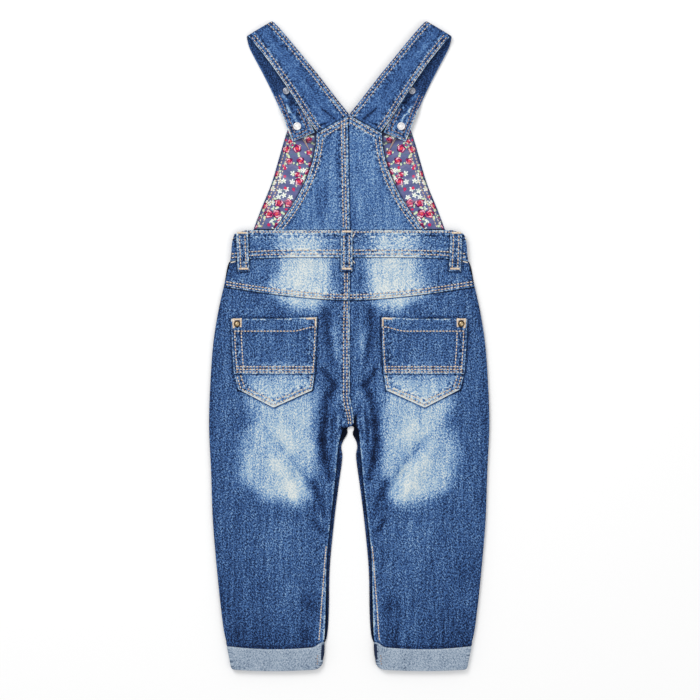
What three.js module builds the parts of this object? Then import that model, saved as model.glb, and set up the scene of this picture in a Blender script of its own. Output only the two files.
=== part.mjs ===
// A toddler's denim bib dungarees, laid flat with the back uppermost.
// Millimetres. +Z is up from the table, +Y runs from the hems to the shoulders, X = 0 is the centre seam.
// A side of -1 is the wearer's left, which lies to the left here, and +1 is the right.
import * as THREE from 'three';

// Cloth thickness and the clearance kept at every seam
const denim = 1.2;
const floralLining = 1.0;
const doubledDenim = 2.2;
const strapCloth = 2.0;
const loopCloth = 1.5;
const seamGap = 0.3;
const halfGap = seamGap / 2;
const pocketClearance = 0.45;

// Lengths up the garment
const waistTop = 115;
const waistbandDepth = 27;
const waistbandSideDrop = 4;
const yokeCentre = 45;
const yokeSideRise = 13.7;
const crotch = -80;
const cuffTop = -300.3;
const cuffDepth = 23.5;
const cuffFoot = 3.5;
const legEnd = cuffTop - cuffDepth + cuffFoot + seamGap;
const frontBibTop = 226;

// Back bib: its top slopes from the neck point to the corner, and its sides are the armholes
const neckPoint = 229.9;
const bibCorner = { x: 32.5, y: 211.9 };
const armholeFlare = 43;

// Straps: one tapered band each, sewn to the back bib, folded over at the shoulder and lying on the front bib
const strapBase = new THREE.Vector2(-16.2, 223.5);
const strapAngle = THREE.MathUtils.degToRad(129);
const foldAngle = THREE.MathUtils.degToRad(30.95);
const strapToFold = 117.7;
const strapLength = 236.8;
const foldRadius = 2.9;
const snaps = [{ along: 224.6, aside: -1.6, radius: 4 }, { along: 187.5, aside: 2.1, radius: 3.5 }];

// Belt loops, by the middle of each, and the back pockets
const loopCentres = { left: -105.4, centre: -2.6, right: 105.4 };
const loopWidth = 11.6;
const loopBottom = 74;
const pocketSeam = -28.4;
const rivet = { x: 111.7, y: 21.6, radius: 3.3 };

// Half widths of the garment: outer silhouette, and the inner edge of each leg's back and front panel
const sideSeam = [
  { y: -322, x: 114.6 }, { y: -302, x: 118.9 }, { y: -292, x: 123.6 }, { y: -270, x: 127.2 },
  { y: -225, x: 132 }, { y: -175, x: 136.2 }, { y: -125, x: 138 }, { y: -80, x: 140 },
  { y: -40, x: 138.8 }, { y: 0, x: 136 }, { y: 30, x: 131.5 }, { y: 60, x: 125 },
  { y: 86, x: 118.5 }, { y: 104, x: 116.6 }, { y: 116, x: 112.5 },
];
const backInseam = [
  { y: -322, x: 31.2 }, { y: -302, x: 27.8 }, { y: -292, x: 24.8 }, { y: -252, x: 23.4 },
  { y: -209, x: 22.2 }, { y: -166, x: 17.6 }, { y: -132, x: 13.8 }, { y: -105, x: 11.4 }, { y: -95, x: 10.2 },
  { y: -88, x: 8.6 }, { y: -84, x: 6.8 }, { y: -81.5, x: 3.6 }, { y: crotch, x: halfGap },
];
const frontInseam = [
  { y: -322, x: 31.2 }, { y: -302, x: 27.8 }, { y: -293, x: 22.8 }, { y: -271, x: 20.6 },
  { y: -223, x: 19.5 }, { y: -175, x: 15 }, { y: -139, x: 10.5 }, { y: -121, x: 7.9 }, { y: -110, x: 6.8 },
  { y: -100, x: 7 }, { y: -92, x: 6.3 }, { y: -87, x: 5.2 }, { y: -83, x: 4.2 }, { y: -81, x: 2.4 },
  { y: crotch, x: halfGap },
];
const frontBibSide = [
  { y: 115, x: 96 }, { y: 137, x: 87.7 }, { y: 161, x: 77.9 },
  { y: 185, x: 70.7 }, { y: 209, x: 63.7 }, { y: 227, x: 57.5 },
];
const pocketOutline = [
  { y: -63, inner: 75.1, outer: 75.7 }, { y: -54.5, inner: 56, outer: 93.2 },
  { y: -45.5, inner: 37.2, outer: 110.2 }, { y: -27, inner: 34.4, outer: 114.9 },
  { y: 0, inner: 33, outer: 116.8 }, { y: 28.5, inner: 32, outer: 117.8 },
];
// The strap's two edges, in distances from its middle line, by the distance y from its base. The fold is near 118.
const strapEdges = [
  { y: -12, outer: 19.2, neck: 16.8 }, { y: 0, outer: 18.7, neck: 17.0 }, { y: 12, outer: 18.4, neck: 17.1 },
  { y: 24, outer: 17.2, neck: 17.3 }, { y: 36, outer: 15.9, neck: 17.6 }, { y: 48, outer: 14.7, neck: 17.8 },
  { y: 60, outer: 13.6, neck: 17.7 }, { y: 84, outer: 12.0, neck: 17.6 }, { y: 100, outer: 11.7, neck: 17.3 },
  { y: 110, outer: 11.8, neck: 16.8 }, { y: 116, outer: 12.0, neck: 15.8 }, { y: 119, outer: 12.4, neck: 14.4 },
  { y: 123, outer: 13.4, neck: 13.4 }, { y: 132, outer: 15.0, neck: 13.0 }, { y: 145, outer: 14.3, neck: 12.2 },
  { y: 160, outer: 12.9, neck: 11.0 }, { y: 181, outer: 11.5, neck: 9.8 }, { y: 205, outer: 11.0, neck: 9.0 },
  { y: 238, outer: 11.9, neck: 8.8 },
];
// How far the back panels stand off the front ones in the middle of their width
const backFullness = [
  { y: -322, rise: 0 }, { y: -299, rise: 0 }, { y: -280, rise: 2.2 }, { y: -200, rise: 3.1 },
  { y: -100, rise: 3.3 }, { y: -20, rise: 3.2 }, { y: 40, rise: 2.7 }, { y: 84, rise: 1.4 },
  { y: 115, rise: 1.1 }, { y: 160, rise: 1.6 }, { y: 232, rise: 0.9 },
];
// The main creases of each back leg, from one end to the other: troughs are negative
const legFolds = [
  { x1: 22, y1: 40, x2: 18, y2: -41, width: 6.5, height: -2.0 },
  { x1: 18, y1: -41, x2: 25, y2: -70, width: 6, height: -2.0 },
  { x1: 25, y1: -70, x2: 25, y2: -134, width: 6, height: -2.4 },
  { x1: 7, y1: -56, x2: 17, y2: -92, width: 4, height: -1.3 },
  { x1: 70, y1: -100, x2: 52, y2: -131, width: 5, height: -1.5 },
  { x1: 52, y1: -131, x2: 27, y2: -164, width: 5.5, height: -2.0 },
  { x1: 77, y1: -112, x2: 50, y2: -156, width: 8, height: 1.2 },
  { x1: 37, y1: -174, x2: 26, y2: -188, width: 4.5, height: -1.4 },
  { x1: 60, y1: -228, x2: 63, y2: -290, width: 9, height: 0.9 },
  { x1: 44, y1: -252, x2: 36, y2: -272, width: 6, height: -1.2 },
  { x1: 41, y1: -278, x2: 41, y2: -296, width: 4.5, height: -1.2 },
  { x1: 110, y1: -278, x2: 111, y2: -296, width: 5, height: -1.0 },
];

// Raised, doubled cloth along a felled seam or hem, and the lifted outer edge of the whole garment
const welt = 0.5;
const weltWidth = 6.6;
const curlWidth = 6;

const denimColour = 0x3c5f95;
const wornDenimColour = 0x5a82b4;
const shadedDenimColour = 0x2b4068;
const cuffColour = 0x9fb0c1;
const liningColour = 0x66648a;

const { clamp, lerp, smoothstep } = THREE.MathUtils;

// A smooth curve through a table's rows, which are in rising order of y
function curve(table, column) {
  const slope = (i) => {
    const before = table[Math.max(i - 1, 0)];
    const after = table[Math.min(i + 1, table.length - 1)];
    return (after[column] - before[column]) / (after.y - before.y);
  };
  return (y) => {
    const above = table.findIndex((row) => row.y >= y);
    const i = above < 0 ? table.length - 2 : Math.max(above - 1, 0);
    const step = table[i + 1].y - table[i].y;
    const t = clamp((y - table[i].y) / step, 0, 1);
    const fromStart = (1 + 2 * t) * (1 - t) ** 2 * table[i][column] + t * (1 - t) ** 2 * slope(i) * step;
    const fromEnd = t * t * (3 - 2 * t) * table[i + 1][column] + t * t * (t - 1) * slope(i + 1) * step;
    return fromStart + fromEnd;
  };
}

const sideX = curve(sideSeam, 'x');
const backInseamX = curve(backInseam, 'x');
const frontInseamX = curve(frontInseam, 'x');
const bibSideX = curve(frontBibSide, 'x');
const fullnessAt = curve(backFullness, 'rise');
const strapOuter = curve(strapEdges, 'outer');
const strapNeck = curve(strapEdges, 'neck');

const innerX = (edge) => (y) => (y > crotch ? halfGap : Math.max(edge(y), halfGap));
const backInnerX = innerX(backInseamX);
const frontInnerX = innerX(frontInseamX);

// The seat's seam drifts to the right on its way down to the crotch, and the inseams with it
const seatDrift = (x, y) => 2 * smoothstep(-y, 48, 76) * (1 - smoothstep(-y, 80, 104)) * Math.max(1 - Math.abs(x) / 30, 0);
const drifted = (side, x, y) => side * x + seatDrift(x, y);

const waistbandTop = (x) => waistTop - waistbandSideDrop * smoothstep(Math.abs(x), 98, 118);
const waistbandBottom = (x) => waistTop - waistbandDepth - waistbandSideDrop * (Math.abs(x) / 119) ** 5;
const yokeSeam = (x) => yokeCentre + yokeSideRise * (Math.abs(x) / sideX(yokeCentre + yokeSideRise)) ** 1.6;
const bibTop = (share) => lerp(neckPoint, bibCorner.y, share);
const armholeX = (y) => {
  const drop = Math.max(bibCorner.y - y, 0) / (bibCorner.y - waistTop);
  return bibCorner.x + armholeFlare * drop ** 1.9;
};

// Distance from a point to a fold's line, and how much of the fold is left near its ends
function foldHeight(fold, x, y) {
  const along = new THREE.Vector2(fold.x2 - fold.x1, fold.y2 - fold.y1);
  const length = along.length();
  along.normalize();
  const from = new THREE.Vector2(x - fold.x1, y - fold.y1);
  const s = from.dot(along);
  const aside = from.cross(along);
  const beyond = Math.max(-s, s - length, 0);
  return fold.height * Math.exp(-((aside / fold.width) ** 2) - (beyond / (1.6 * fold.width)) ** 2);
}

// Heights of the layers, from the table up
const cuffLift = (y) => (denim + seamGap) * smoothstep(-y, 284, 299);
const edgeCurl = (x, y) => 0.8 * clamp((Math.abs(x) - sideX(y) + curlWidth) / curlWidth, 0, 1)
  * (1 - smoothstep(-y, 284, 299));
const frontUnder = (x, y) => cuffLift(y) + edgeCurl(x, y);

function layersBelow(x, y) {
  const bandEdge = waistbandBottom(x);
  const onBand = smoothstep(y, bandEdge - 9, bandEdge - 1);
  const onBib = smoothstep(y, waistTop, waistTop + 4);
  return frontUnder(x, y) + denim + (doubledDenim - denim) * onBand
    + (seamGap + floralLining + denim - doubledDenim) * onBib;
}

function backUnder(x, y) {
  const across = Math.abs(x - seatDrift(x, y));
  const outer = y > waistTop + 1 ? armholeX(y) : sideX(y);
  const inner = y > crotch ? Math.hypot(across, y - crotch) : across - backInnerX(y);
  const fromOuter = Math.sin(clamp((outer - across) / (y > waistTop ? 14 : 24), 0, 1) * Math.PI / 2);
  const fromInner = Math.sin(clamp(inner / 16, 0, 1) * Math.PI / 2);
  const folds = legFolds.reduce((sum, fold) => sum + foldHeight(fold, across, y), 0);
  const room = Math.max(fullnessAt(y) + folds * smoothstep(y, -299, -290), 0);
  return layersBelow(x, y) + seamGap + room * fromOuter * fromInner;
}
const backOver = (x, y) => backUnder(x, y) + denim;

// A closed wall between two grids of points, under[row][column] and over[row][column]
function wallBetween(under, over) {
  const rows = under.length;
  const columns = under[0].length;
  const points = [...under.flat(), ...over.flat()];
  const low = (r, c) => r * columns + c;
  const high = (r, c) => rows * columns + low(r, c);
  const faces = [];
  const quad = (a, b, c, d) => faces.push(a, b, c, a, c, d);
  for (let r = 0; r < rows - 1; r += 1) {
    for (let c = 0; c < columns - 1; c += 1) {
      quad(high(r, c), high(r, c + 1), high(r + 1, c + 1), high(r + 1, c));
      quad(low(r, c), low(r + 1, c), low(r + 1, c + 1), low(r, c + 1));
    }
    quad(low(r, 0), high(r, 0), high(r + 1, 0), low(r + 1, 0));
    quad(low(r + 1, columns - 1), high(r + 1, columns - 1), high(r, columns - 1), low(r, columns - 1));
  }
  for (let c = 0; c < columns - 1; c += 1) {
    quad(low(0, c), low(0, c + 1), high(0, c + 1), high(0, c));
    quad(low(rows - 1, c + 1), low(rows - 1, c), high(rows - 1, c), high(rows - 1, c + 1));
  }
  return facesOut(points, faces);
}

// A ring whose sections are closed loops: loops[place round the ring][point of the section]
function closedRing(loops) {
  const around = loops.length;
  const section = loops[0].length;
  const faces = [];
  for (let a = 0; a < around; a += 1) {
    for (let s = 0; s < section; s += 1) {
      const nextA = (a + 1) % around;
      const nextS = (s + 1) % section;
      const corner = [a * section + s, nextA * section + s, nextA * section + nextS, a * section + nextS];
      faces.push(corner[0], corner[1], corner[2], corner[0], corner[2], corner[3]);
    }
  }
  return facesOut(loops.flat(), faces);
}

// Turns every face over if the signed volume shows that they point inwards
function facesOut(points, faces) {
  let volume = 0;
  for (let i = 0; i < faces.length; i += 3) {
    const [a, b, c] = [points[faces[i]], points[faces[i + 1]], points[faces[i + 2]]];
    volume += a.dot(new THREE.Vector3().crossVectors(b, c));
  }
  const outward = volume > 0 ? faces : faces.toReversed();
  const geometry = new THREE.BufferGeometry().setFromPoints(points);
  geometry.setIndex(outward);
  geometry.computeVertexNormals();
  return geometry;
}

// A panel lies over rows x columns of plan points, from its under face to its under face plus thickness
function panel(plan, under, thickness) {
  const lower = plan.map((row) => row.map(([x, y]) => new THREE.Vector3(x, y, under(x, y))));
  const upper = plan.map((row) => row.map(([x, y]) => new THREE.Vector3(x, y, under(x, y) + thickness(x, y))));
  return wallBetween(lower, upper);
}

const even = (count) => Array.from({ length: count + 1 }, (_, i) => i / count);
const cloth = (colour) => new THREE.MeshStandardMaterial({ color: colour, roughness: 0.92, metalness: 0 });
const metal = (colour) => new THREE.MeshStandardMaterial({ color: colour, roughness: 0.3, metalness: 1 });
const garment = new THREE.Group();

function addPiece(name, geometry, material) {
  const piece = new THREE.Mesh(geometry, material);
  piece.name = name;
  garment.add(piece);
  return piece;
}

// Columns across a back panel: close together by the inner edge, where the deep creases are, then by
// shares of what is left. Neighbours across a seam use the same ones, so that their edges run parallel.
const nearInner = [0, weltWidth, weltWidth + 1.2, 13, 18.5, 24, 31];
const sharesBeyond = [0.14, 0.28, 0.43, 0.58, 0.73, 0.86];
function columnsBetween(inner, outer) {
  const start = inner + nearInner.at(-1);
  const beyond = sharesBeyond.map((share) => lerp(start, outer - curlWidth, share));
  return [...nearInner.map((d) => inner + d), ...beyond, outer - curlWidth, outer - 0.4 * curlWidth, outer];
}
const legColumns = (y) => columnsBetween(backInnerX(y), sideX(y));
const frontColumns = (inner, outer) => [0, 0.06, 0.2, 0.4, 0.6, 0.8, 0.94, 1]
  .map((share) => lerp(inner, outer - curlWidth, share)).concat(outer);

// The top of a leg follows the yoke seam, and rows lower down straighten out
const legRows = [legEnd, -311, cuffTop, -299, -294, -289, -284, -270, -254, -236, -216, -196, -182, -168, -155, -142,
  -129, -116, -105, -95, -88, -84, -81.5, crotch, -72, -60, -46, -30, -10, 10, 28, yokeCentre];
const yokeSide = yokeCentre + yokeSideRise;
const waistbandSide = waistTop - waistbandDepth - waistbandSideDrop;

function backLeg(side) {
  const plan = legRows.map((y) => {
    const bend = smoothstep(y, 10, yokeCentre);
    return columnsBetween(backInnerX(y), sideX(lerp(y, yokeSide, bend)))
      .map((x) => [drifted(side, x, y), lerp(y, yokeSeam(x) - halfGap, bend)]);
  });
  const seatWelt = (x, y) => (side < 0 && y > crotch && x > -weltWidth - 0.5 ? welt : 0);
  return panel(plan, backUnder, (x, y) => denim + seatWelt(x, y));
}

const frontLegRows = [legEnd, cuffTop, -299, -294, -289, -284, -262, -222, -182, -150, -121, -110, -100, -92, -87, -83,
  -81, crotch, -60, -30, 10, 40, 66, waistbandSide];

function frontLeg(side) {
  const plan = frontLegRows.map((y) => {
    const bend = smoothstep(y, 60, waistbandSide);
    return frontColumns(frontInnerX(y), sideX(y))
      .map((x) => [drifted(side, x, y), lerp(y, waistbandBottom(x) - seamGap, bend)]);
  });
  return panel(plan, frontUnder, () => denim);
}

// The yoke lies between its own seam, felled over the leg, and the waistband
const feltDistances = [0, weltWidth, weltWidth + 0.9];

function backYoke(side) {
  const row = (outerY, yAt) => columnsBetween(halfGap, sideX(outerY)).map((x) => [side * x, yAt(x)]);
  const plan = [
    ...feltDistances.map((d) => row(yokeSide + d, (x) => yokeSeam(x) + halfGap + d)),
    ...[0.4, 0.72, 1].map((share) => row(lerp(yokeSide + weltWidth, waistbandSide, share),
      (x) => lerp(yokeSeam(x) + weltWidth, waistbandBottom(x) - seamGap, share))),
  ];
  const felled = (x, y) => (y - yokeSeam(x) < weltWidth + 0.5 ? welt : 0);
  return panel(plan, backUnder, (x, y) => denim + felled(x, y));
}

// A waistband half's columns and its mirror image's make one row from side to side
function waistbandPlan(columnsTo) {
  return [0, 0.24, 0.3, 0.85, 1].map((share) => {
    const half = columnsTo(halfGap, sideX(lerp(waistbandSide, waistTop - waistbandSideDrop, share)));
    return [...half.toReversed().map((x) => -x), ...half]
      .map((x) => [x, lerp(waistbandBottom(x), waistbandTop(x), share)]);
  });
}

function backBib(side) {
  const columns = [0, 0.13, 0.16, 0.32, 0.5, 0.66, 0.8, 0.83, 0.93, 1];
  const plan = [0, 0.07, 0.16, 0.26, 0.36, 0.46, 0.56, 0.66, 0.76, 0.86, 0.94, 0.955, 1].map((v) => columns.map((u) => {
    const y = lerp(waistTop + seamGap, bibTop(u), v);
    return [side * lerp(halfGap, armholeX(y), u), y];
  }));
  const hemmed = (x, y) => {
    const across = Math.abs(x);
    const fromTop = bibTop(across / bibCorner.x) - y;
    const inHem = across > armholeX(y) - weltWidth || fromTop < weltWidth;
    return inHem || (side < 0 && across < weltWidth) ? welt : 0;
  };
  return panel(plan, backUnder, (x, y) => denim + hemmed(x, y));
}

function frontBib(inset, under, thickness) {
  const columns = [-1, -0.93, -0.8, -0.55, -0.28, 0, 0.28, 0.55, 0.8, 0.93, 1];
  const bottom = waistTop + seamGap + inset;
  const plan = even(9).map((v) => columns.map((u) => {
    const y = lerp(bottom, frontBibTop - inset, v);
    return [u * (bibSideX(y) - inset), y];
  }));
  return panel(plan, () => under, () => thickness);
}

// The strap is drawn flat, s along it and q from -1 at its outer edge to +1 at the neck, then folded.
// Everything here is for the left strap, and the right one is its mirror image.
const strapRun = new THREE.Vector2(Math.cos(strapAngle), Math.sin(strapAngle));
const strapAcross = new THREE.Vector2(strapRun.y, -strapRun.x);
const foldLine = new THREE.Vector2(Math.cos(foldAngle), Math.sin(foldAngle));
const foldOut = new THREE.Vector2(-foldLine.y, foldLine.x);
const foldPoint = strapBase.clone().addScaledVector(strapRun, strapToFold);
const strapAside = (s, q) => lerp(-strapOuter(s), strapNeck(s), (q + 1) / 2);
const strapFlat = (s, aside) => strapBase.clone().addScaledVector(strapRun, s).addScaledVector(strapAcross, aside);

const frontRunRest = strapCloth / 2;
const frontRunOnBib = denim + seamGap + floralLining + seamGap + strapCloth / 2;
const frontRunHeight = (y) => lerp(frontRunOnBib, frontRunRest, smoothstep(y, frontBibTop + 4, frontBibTop + 20));
const strapRise = [{ y: -8, mid: 4.6 }, { y: 0, mid: 4.9 }, { y: 18, mid: 6.3 }, { y: 45, mid: 6.6 },
  { y: strapToFold, mid: frontRunRest + 2 * foldRadius }];
const backRunHeight = curve(strapRise, 'mid');

// lift is the distance from the middle of the cloth, towards the viewer on the back run
function strapPoint(s, aside, lift) {
  const flat = strapFlat(s, aside);
  const past = flat.clone().sub(foldPoint).dot(foldOut) + foldRadius;
  const base = flat.clone().addScaledVector(foldOut, -past);
  const turn = past / foldRadius;
  if (turn <= 0) {
    return new THREE.Vector3(Math.min(flat.x, -seamGap), flat.y, backRunHeight(s) + lift);
  }
  if (turn < Math.PI) {
    const out = base.addScaledVector(foldOut, (foldRadius + lift) * Math.sin(turn));
    return new THREE.Vector3(out.x, out.y, frontRunRest + foldRadius + (foldRadius + lift) * Math.cos(turn));
  }
  const back = base.addScaledVector(foldOut, -(past - Math.PI * foldRadius));
  return new THREE.Vector3(back.x, back.y, frontRunHeight(back.y) - lift);
}

// Where the strap's base meets the sloping top of the bib
function strapStart(q) {
  const corner = new THREE.Vector2(-bibCorner.x, bibCorner.y);
  const slope = new THREE.Vector2(bibCorner.x, neckPoint - bibCorner.y).normalize();
  const normal = new THREE.Vector2(-slope.y, slope.x);
  const start = strapFlat(0, strapAside(0, q));
  return (seamGap + 0.1 + corner.sub(start).dot(normal)) / strapRun.dot(normal);
}

const toSide = (side) => (point) => new THREE.Vector3(-side * point.x, point.y, point.z);

function strap(side) {
  const stations = [0, 8, 18, 32, 50, 70, 90, 105, 111, 114, 116, 118, 120, 122, 124, 126, 129, 134, 145, 160, 176,
    190, 200, 206, 212, 218, 226, strapLength];
  const across = [-1, -0.72, 0, 0.72, 1];
  const face = (lift) => stations.map((s, i) => across.map((q) => {
    const station = i === 0 ? strapStart(q) : Math.max(s, strapStart(q));
    return toSide(side)(strapPoint(station, strapAside(station, q), lift));
  }));
  return wallBetween(face(-strapCloth / 2), face(strapCloth / 2));
}

// A turned-up cuff: a flattened tube whose foot is as thick as the cuff and the leg inside it.
// Its front half shows a little beyond its back half on the inner side, near the top.
const cuffMiddle = denim + seamGap + denim + halfGap;
const cuffRadius = cuffMiddle - denim / 2;

function cuff(side) {
  const bottom = cuffTop - cuffDepth;
  const section = [[0, -1.6], [0, 0.1], [0.6, 0.6], [6, 0.6], [11.5, 0.6], [14.5, 0.6], [cuffDepth - 0.4, 0.6],
    [cuffDepth, 0.2], [cuffDepth, -0.3], [cuffDepth - 0.4, -0.6], [14.5, -0.6], [11.5, -0.6],
    [cuffFoot, -0.6], [cuffFoot, -2.1], [0.4, -2.1]];
  const rounding = (height, radius) => radius - Math.sqrt(radius ** 2 - (radius - Math.min(height, radius)) ** 2);
  const inner = (height) => 26.4 - 0.09 * height + rounding(height, 9);
  const outer = (height) => 117.6 + 0.2 * height - rounding(height, 3);
  const straight = even(12);
  const bend = even(5).slice(1, -1);
  const places = [
    ...straight.map((t) => ({ along: 1 - 2 * t, angle: Math.PI / 2, showing: 0 })),
    ...bend.map((t) => ({ along: -1, angle: Math.PI / 2 + t * Math.PI, showing: t * t })),
    ...straight.map((t) => ({ along: 2 * t - 1, angle: -Math.PI / 2, showing: (1 - t) ** 6 })),
    ...bend.map((t) => ({ along: 1, angle: -Math.PI / 2 + t * Math.PI, showing: 0 })),
  ];
  const loops = places.map(({ along, angle, showing }) => section.map(([height, outwards]) => {
    const middle = (inner(height) + outer(height)) / 2;
    const straightHalf = (outer(height) - inner(height)) / 2 - cuffMiddle;
    const radius = cuffRadius + outwards;
    const sag = lerp(1.1, 2.8, height / cuffDepth) * (1 - along ** 2);
    const peek = 2.2 * showing * smoothstep(height, 11, 15);
    const x = middle + along * straightHalf + radius * Math.cos(angle) - peek;
    return new THREE.Vector3(side * x, bottom + height - sag, cuffMiddle + radius * Math.sin(angle));
  }));
  return closedRing(loops);
}

// The outer face of a back leg as its flat facets give it, between two of its own columns
function legOver(x, y) {
  const columns = legColumns(y);
  const i = clamp(columns.findIndex((column) => column >= x) - 1, 0, columns.length - 2);
  const share = (x - columns[i]) / (columns[i + 1] - columns[i]);
  return lerp(backOver(columns[i], y), backOver(columns[i + 1], y), share);
}

const pocketInner = (y) => pocketEdge(y, 'inner');
const pocketOuter = (y) => pocketEdge(y, 'outer');
function pocketEdge(y, edge) {
  const above = pocketOutline.findIndex((row) => row.y >= y);
  const i = above < 0 ? pocketOutline.length - 2 : Math.max(above - 1, 0);
  const [low, high] = [pocketOutline[i], pocketOutline[i + 1]];
  return lerp(low[edge], high[edge], clamp((y - low.y) / (high.y - low.y), 0, 1));
}
const pocketTop = (x) => 26.6 + 1.6 * smoothstep(-x, -70, -32);

// A pocket's columns are its edges and the leg's own columns between them, so that their facets agree
function pocketPanel(side, rows) {
  const between = legColumns(0).filter((x) => x > pocketInner(0) + 3 && x < pocketOuter(0) - 3).length;
  const plan = rows.map((y) => {
    const [inner, outer] = [pocketInner(y), pocketOuter(y)];
    const own = legColumns(y).filter((x) => x > pocketInner(0) + 3 && x < pocketOuter(0) - 3).slice(0, between);
    const within = own.map((x) => clamp(x, inner + 0.05, outer - 0.05));
    return [inner, inner + 0.03 * (outer - inner), ...within, outer - 0.03 * (outer - inner), outer].sort((a, b) => a - b)
      .map((x) => [x, y > 20 ? Math.min(y, pocketTop(x)) : y]);
  });
  const lower = plan.map((row) => row.map(([x, y]) => new THREE.Vector3(side * x, y, legOver(x, y) + pocketClearance)));
  const hem = (y) => (y > 14 || (y > pocketSeam && y < pocketSeam + 8) ? welt : 0);
  const upper = lower.map((row) => row.map((p) => p.clone().setZ(p.z + denim + hem(p.y))));
  return wallBetween(lower, upper);
}

const pocketLowerRows = [-62.8, -57, -51, -45.5, -36, pocketSeam - halfGap];
const pocketUpperRows = [pocketSeam + halfGap, -20.6, -19.6, -8, 3, 13.8, 14.6, 21, 28.2];

function beltLoop(middle) {
  const stretch = [0, 0.08, 0.2, 0.4, 0.6, 0.8, 0.92, 1];
  const across = [-0.5, -0.2, 0.2, 0.5];
  const plan = stretch.map((v) => across.map((u) => {
    const x = middle + u * loopWidth + Math.sign(Math.round(middle / 50)) * 1.4 * v;
    return [x, lerp(loopBottom, waistbandTop(x) + 0.4, v)];
  }));
  const stretched = (y) => clamp((y - loopBottom) / (waistTop - loopBottom), 0, 1);
  const under = (x, y) => {
    const onYoke = backOver(x, Math.min(y, waistbandBottom(x) - 1)) + seamGap;
    const onBand = backUnder(x, Math.min(y, waistbandTop(x) - 1)) + doubledDenim + seamGap;
    return lerp(onYoke, onBand + 0.2, smoothstep(y, loopBottom + 3, waistbandBottom(x) - 1.5))
      + 0.7 * Math.sin(Math.PI * stretched(y)) + 0.1;
  };
  return panel(plan, under, () => loopCloth);
}

// A stud's cap: a shallow dome with a dished middle, its foot on z = 0
function cap(radius, height, dish) {
  const profile = [[0, 0], [radius, 0], [radius, height * 0.45], [radius * 0.86, height], [radius * 0.6, height],
    [radius * 0.45, height - dish], [0, height - dish * 0.6]];
  const geometry = new THREE.LatheGeometry(profile.map(([r, z]) => new THREE.Vector2(r, z)), 18);
  return geometry.rotateX(Math.PI / 2);
}

for (const [word, side] of [['left', -1], ['right', 1]]) {
  addPiece(`front_leg_${word}`, frontLeg(side), cloth(shadedDenimColour));
  addPiece(`back_leg_${word}`, backLeg(side), cloth(denimColour));
  addPiece(`cuff_${word}`, cuff(side), cloth(cuffColour));
  addPiece(`back_yoke_${word}`, backYoke(side), cloth(wornDenimColour));
  addPiece(`back_bib_${word}`, backBib(side), cloth(denimColour));
  addPiece(`strap_${word}`, strap(side), cloth(denimColour));
  addPiece(`pocket_upper_${word}`, pocketPanel(side, pocketUpperRows), cloth(denimColour));
  addPiece(`pocket_lower_${word}`, pocketPanel(side, pocketLowerRows), cloth(wornDenimColour));

  snaps.forEach(({ along, aside, radius }, i) => {
    const snap = addPiece(`snap_${i + 1}_${word}`, cap(radius, 1.3, 0.5), metal(0xd8d8d6));
    snap.position.copy(toSide(side)(strapPoint(along, aside, -strapCloth / 2 - seamGap)));
  });
  const stud = addPiece(`rivet_${word}`, cap(rivet.radius, 1.2, -0.5), metal(0x9a7a45));
  const onPocket = legOver(rivet.x, rivet.y) + pocketClearance + denim + welt;
  stud.position.set(side * rivet.x, rivet.y, onPocket + seamGap + 0.25);
}

const frontBandPlan = waistbandPlan(frontColumns);
const backBandPlan = waistbandPlan(columnsBetween);
addPiece('waistband_front', panel(frontBandPlan, edgeCurl, () => doubledDenim), cloth(shadedDenimColour));
addPiece('waistband_back', panel(backBandPlan, backUnder, () => doubledDenim), cloth(denimColour));
addPiece('front_bib', frontBib(0, 0, denim), cloth(shadedDenimColour));
addPiece('front_bib_lining', frontBib(1, denim + seamGap, floralLining), cloth(liningColour));
for (const [word, middle] of Object.entries(loopCentres)) {
  addPiece(`belt_loop_${word}`, beltLoop(middle), cloth(wornDenimColour));
}

// The origin is the middle of the footprint, and the table is at z = 0
const footprint = new THREE.Box3().setFromObject(garment);
garment.position.y = -(footprint.min.y + footprint.max.y) / 2;

export default garment;
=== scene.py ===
import bpy
import math
import numpy as np
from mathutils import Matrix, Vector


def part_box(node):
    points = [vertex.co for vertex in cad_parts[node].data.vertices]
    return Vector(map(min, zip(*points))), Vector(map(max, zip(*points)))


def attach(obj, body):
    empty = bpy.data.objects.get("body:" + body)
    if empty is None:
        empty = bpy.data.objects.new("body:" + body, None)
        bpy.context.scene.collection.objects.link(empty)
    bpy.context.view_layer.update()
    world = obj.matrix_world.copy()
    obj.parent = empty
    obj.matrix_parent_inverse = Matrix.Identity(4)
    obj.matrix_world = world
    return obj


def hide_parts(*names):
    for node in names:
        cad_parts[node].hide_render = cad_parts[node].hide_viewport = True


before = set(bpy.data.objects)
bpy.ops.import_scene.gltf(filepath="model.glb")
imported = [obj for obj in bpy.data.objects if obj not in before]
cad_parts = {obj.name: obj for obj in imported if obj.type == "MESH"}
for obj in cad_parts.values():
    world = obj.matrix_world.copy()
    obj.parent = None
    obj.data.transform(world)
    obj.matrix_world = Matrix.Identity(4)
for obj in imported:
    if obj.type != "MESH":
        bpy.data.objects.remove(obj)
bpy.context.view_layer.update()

# Everything is drawn in millimetres with the centre seam at x = 0, then turned into metres.
# Minus x is the wearer's left. The drawing sits a little off the frame's origin along y.
garment = {
    "denim": 1.2, "lining": 1.0, "doubled": 2.2, "strap": 2.0, "loop": 1.5, "gap": 0.3,
    "waistTop": 115.0, "bandDepth": 27.0, "bandDrop": 4.0,
    "yokeCentre": 45.0, "yokeRise": 13.7, "crotch": -80.0,
    "legEnd": -320.0, "curl": 6.0, "welt": 0.5, "weltWidth": 6.6,
}
halfGap = garment["gap"] / 2
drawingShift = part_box("front_bib")[0][1] * 1000 - garment["waistTop"] - garment["gap"]


def table(columns, *rows):
    return [dict(zip(columns, row)) for row in rows]


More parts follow.
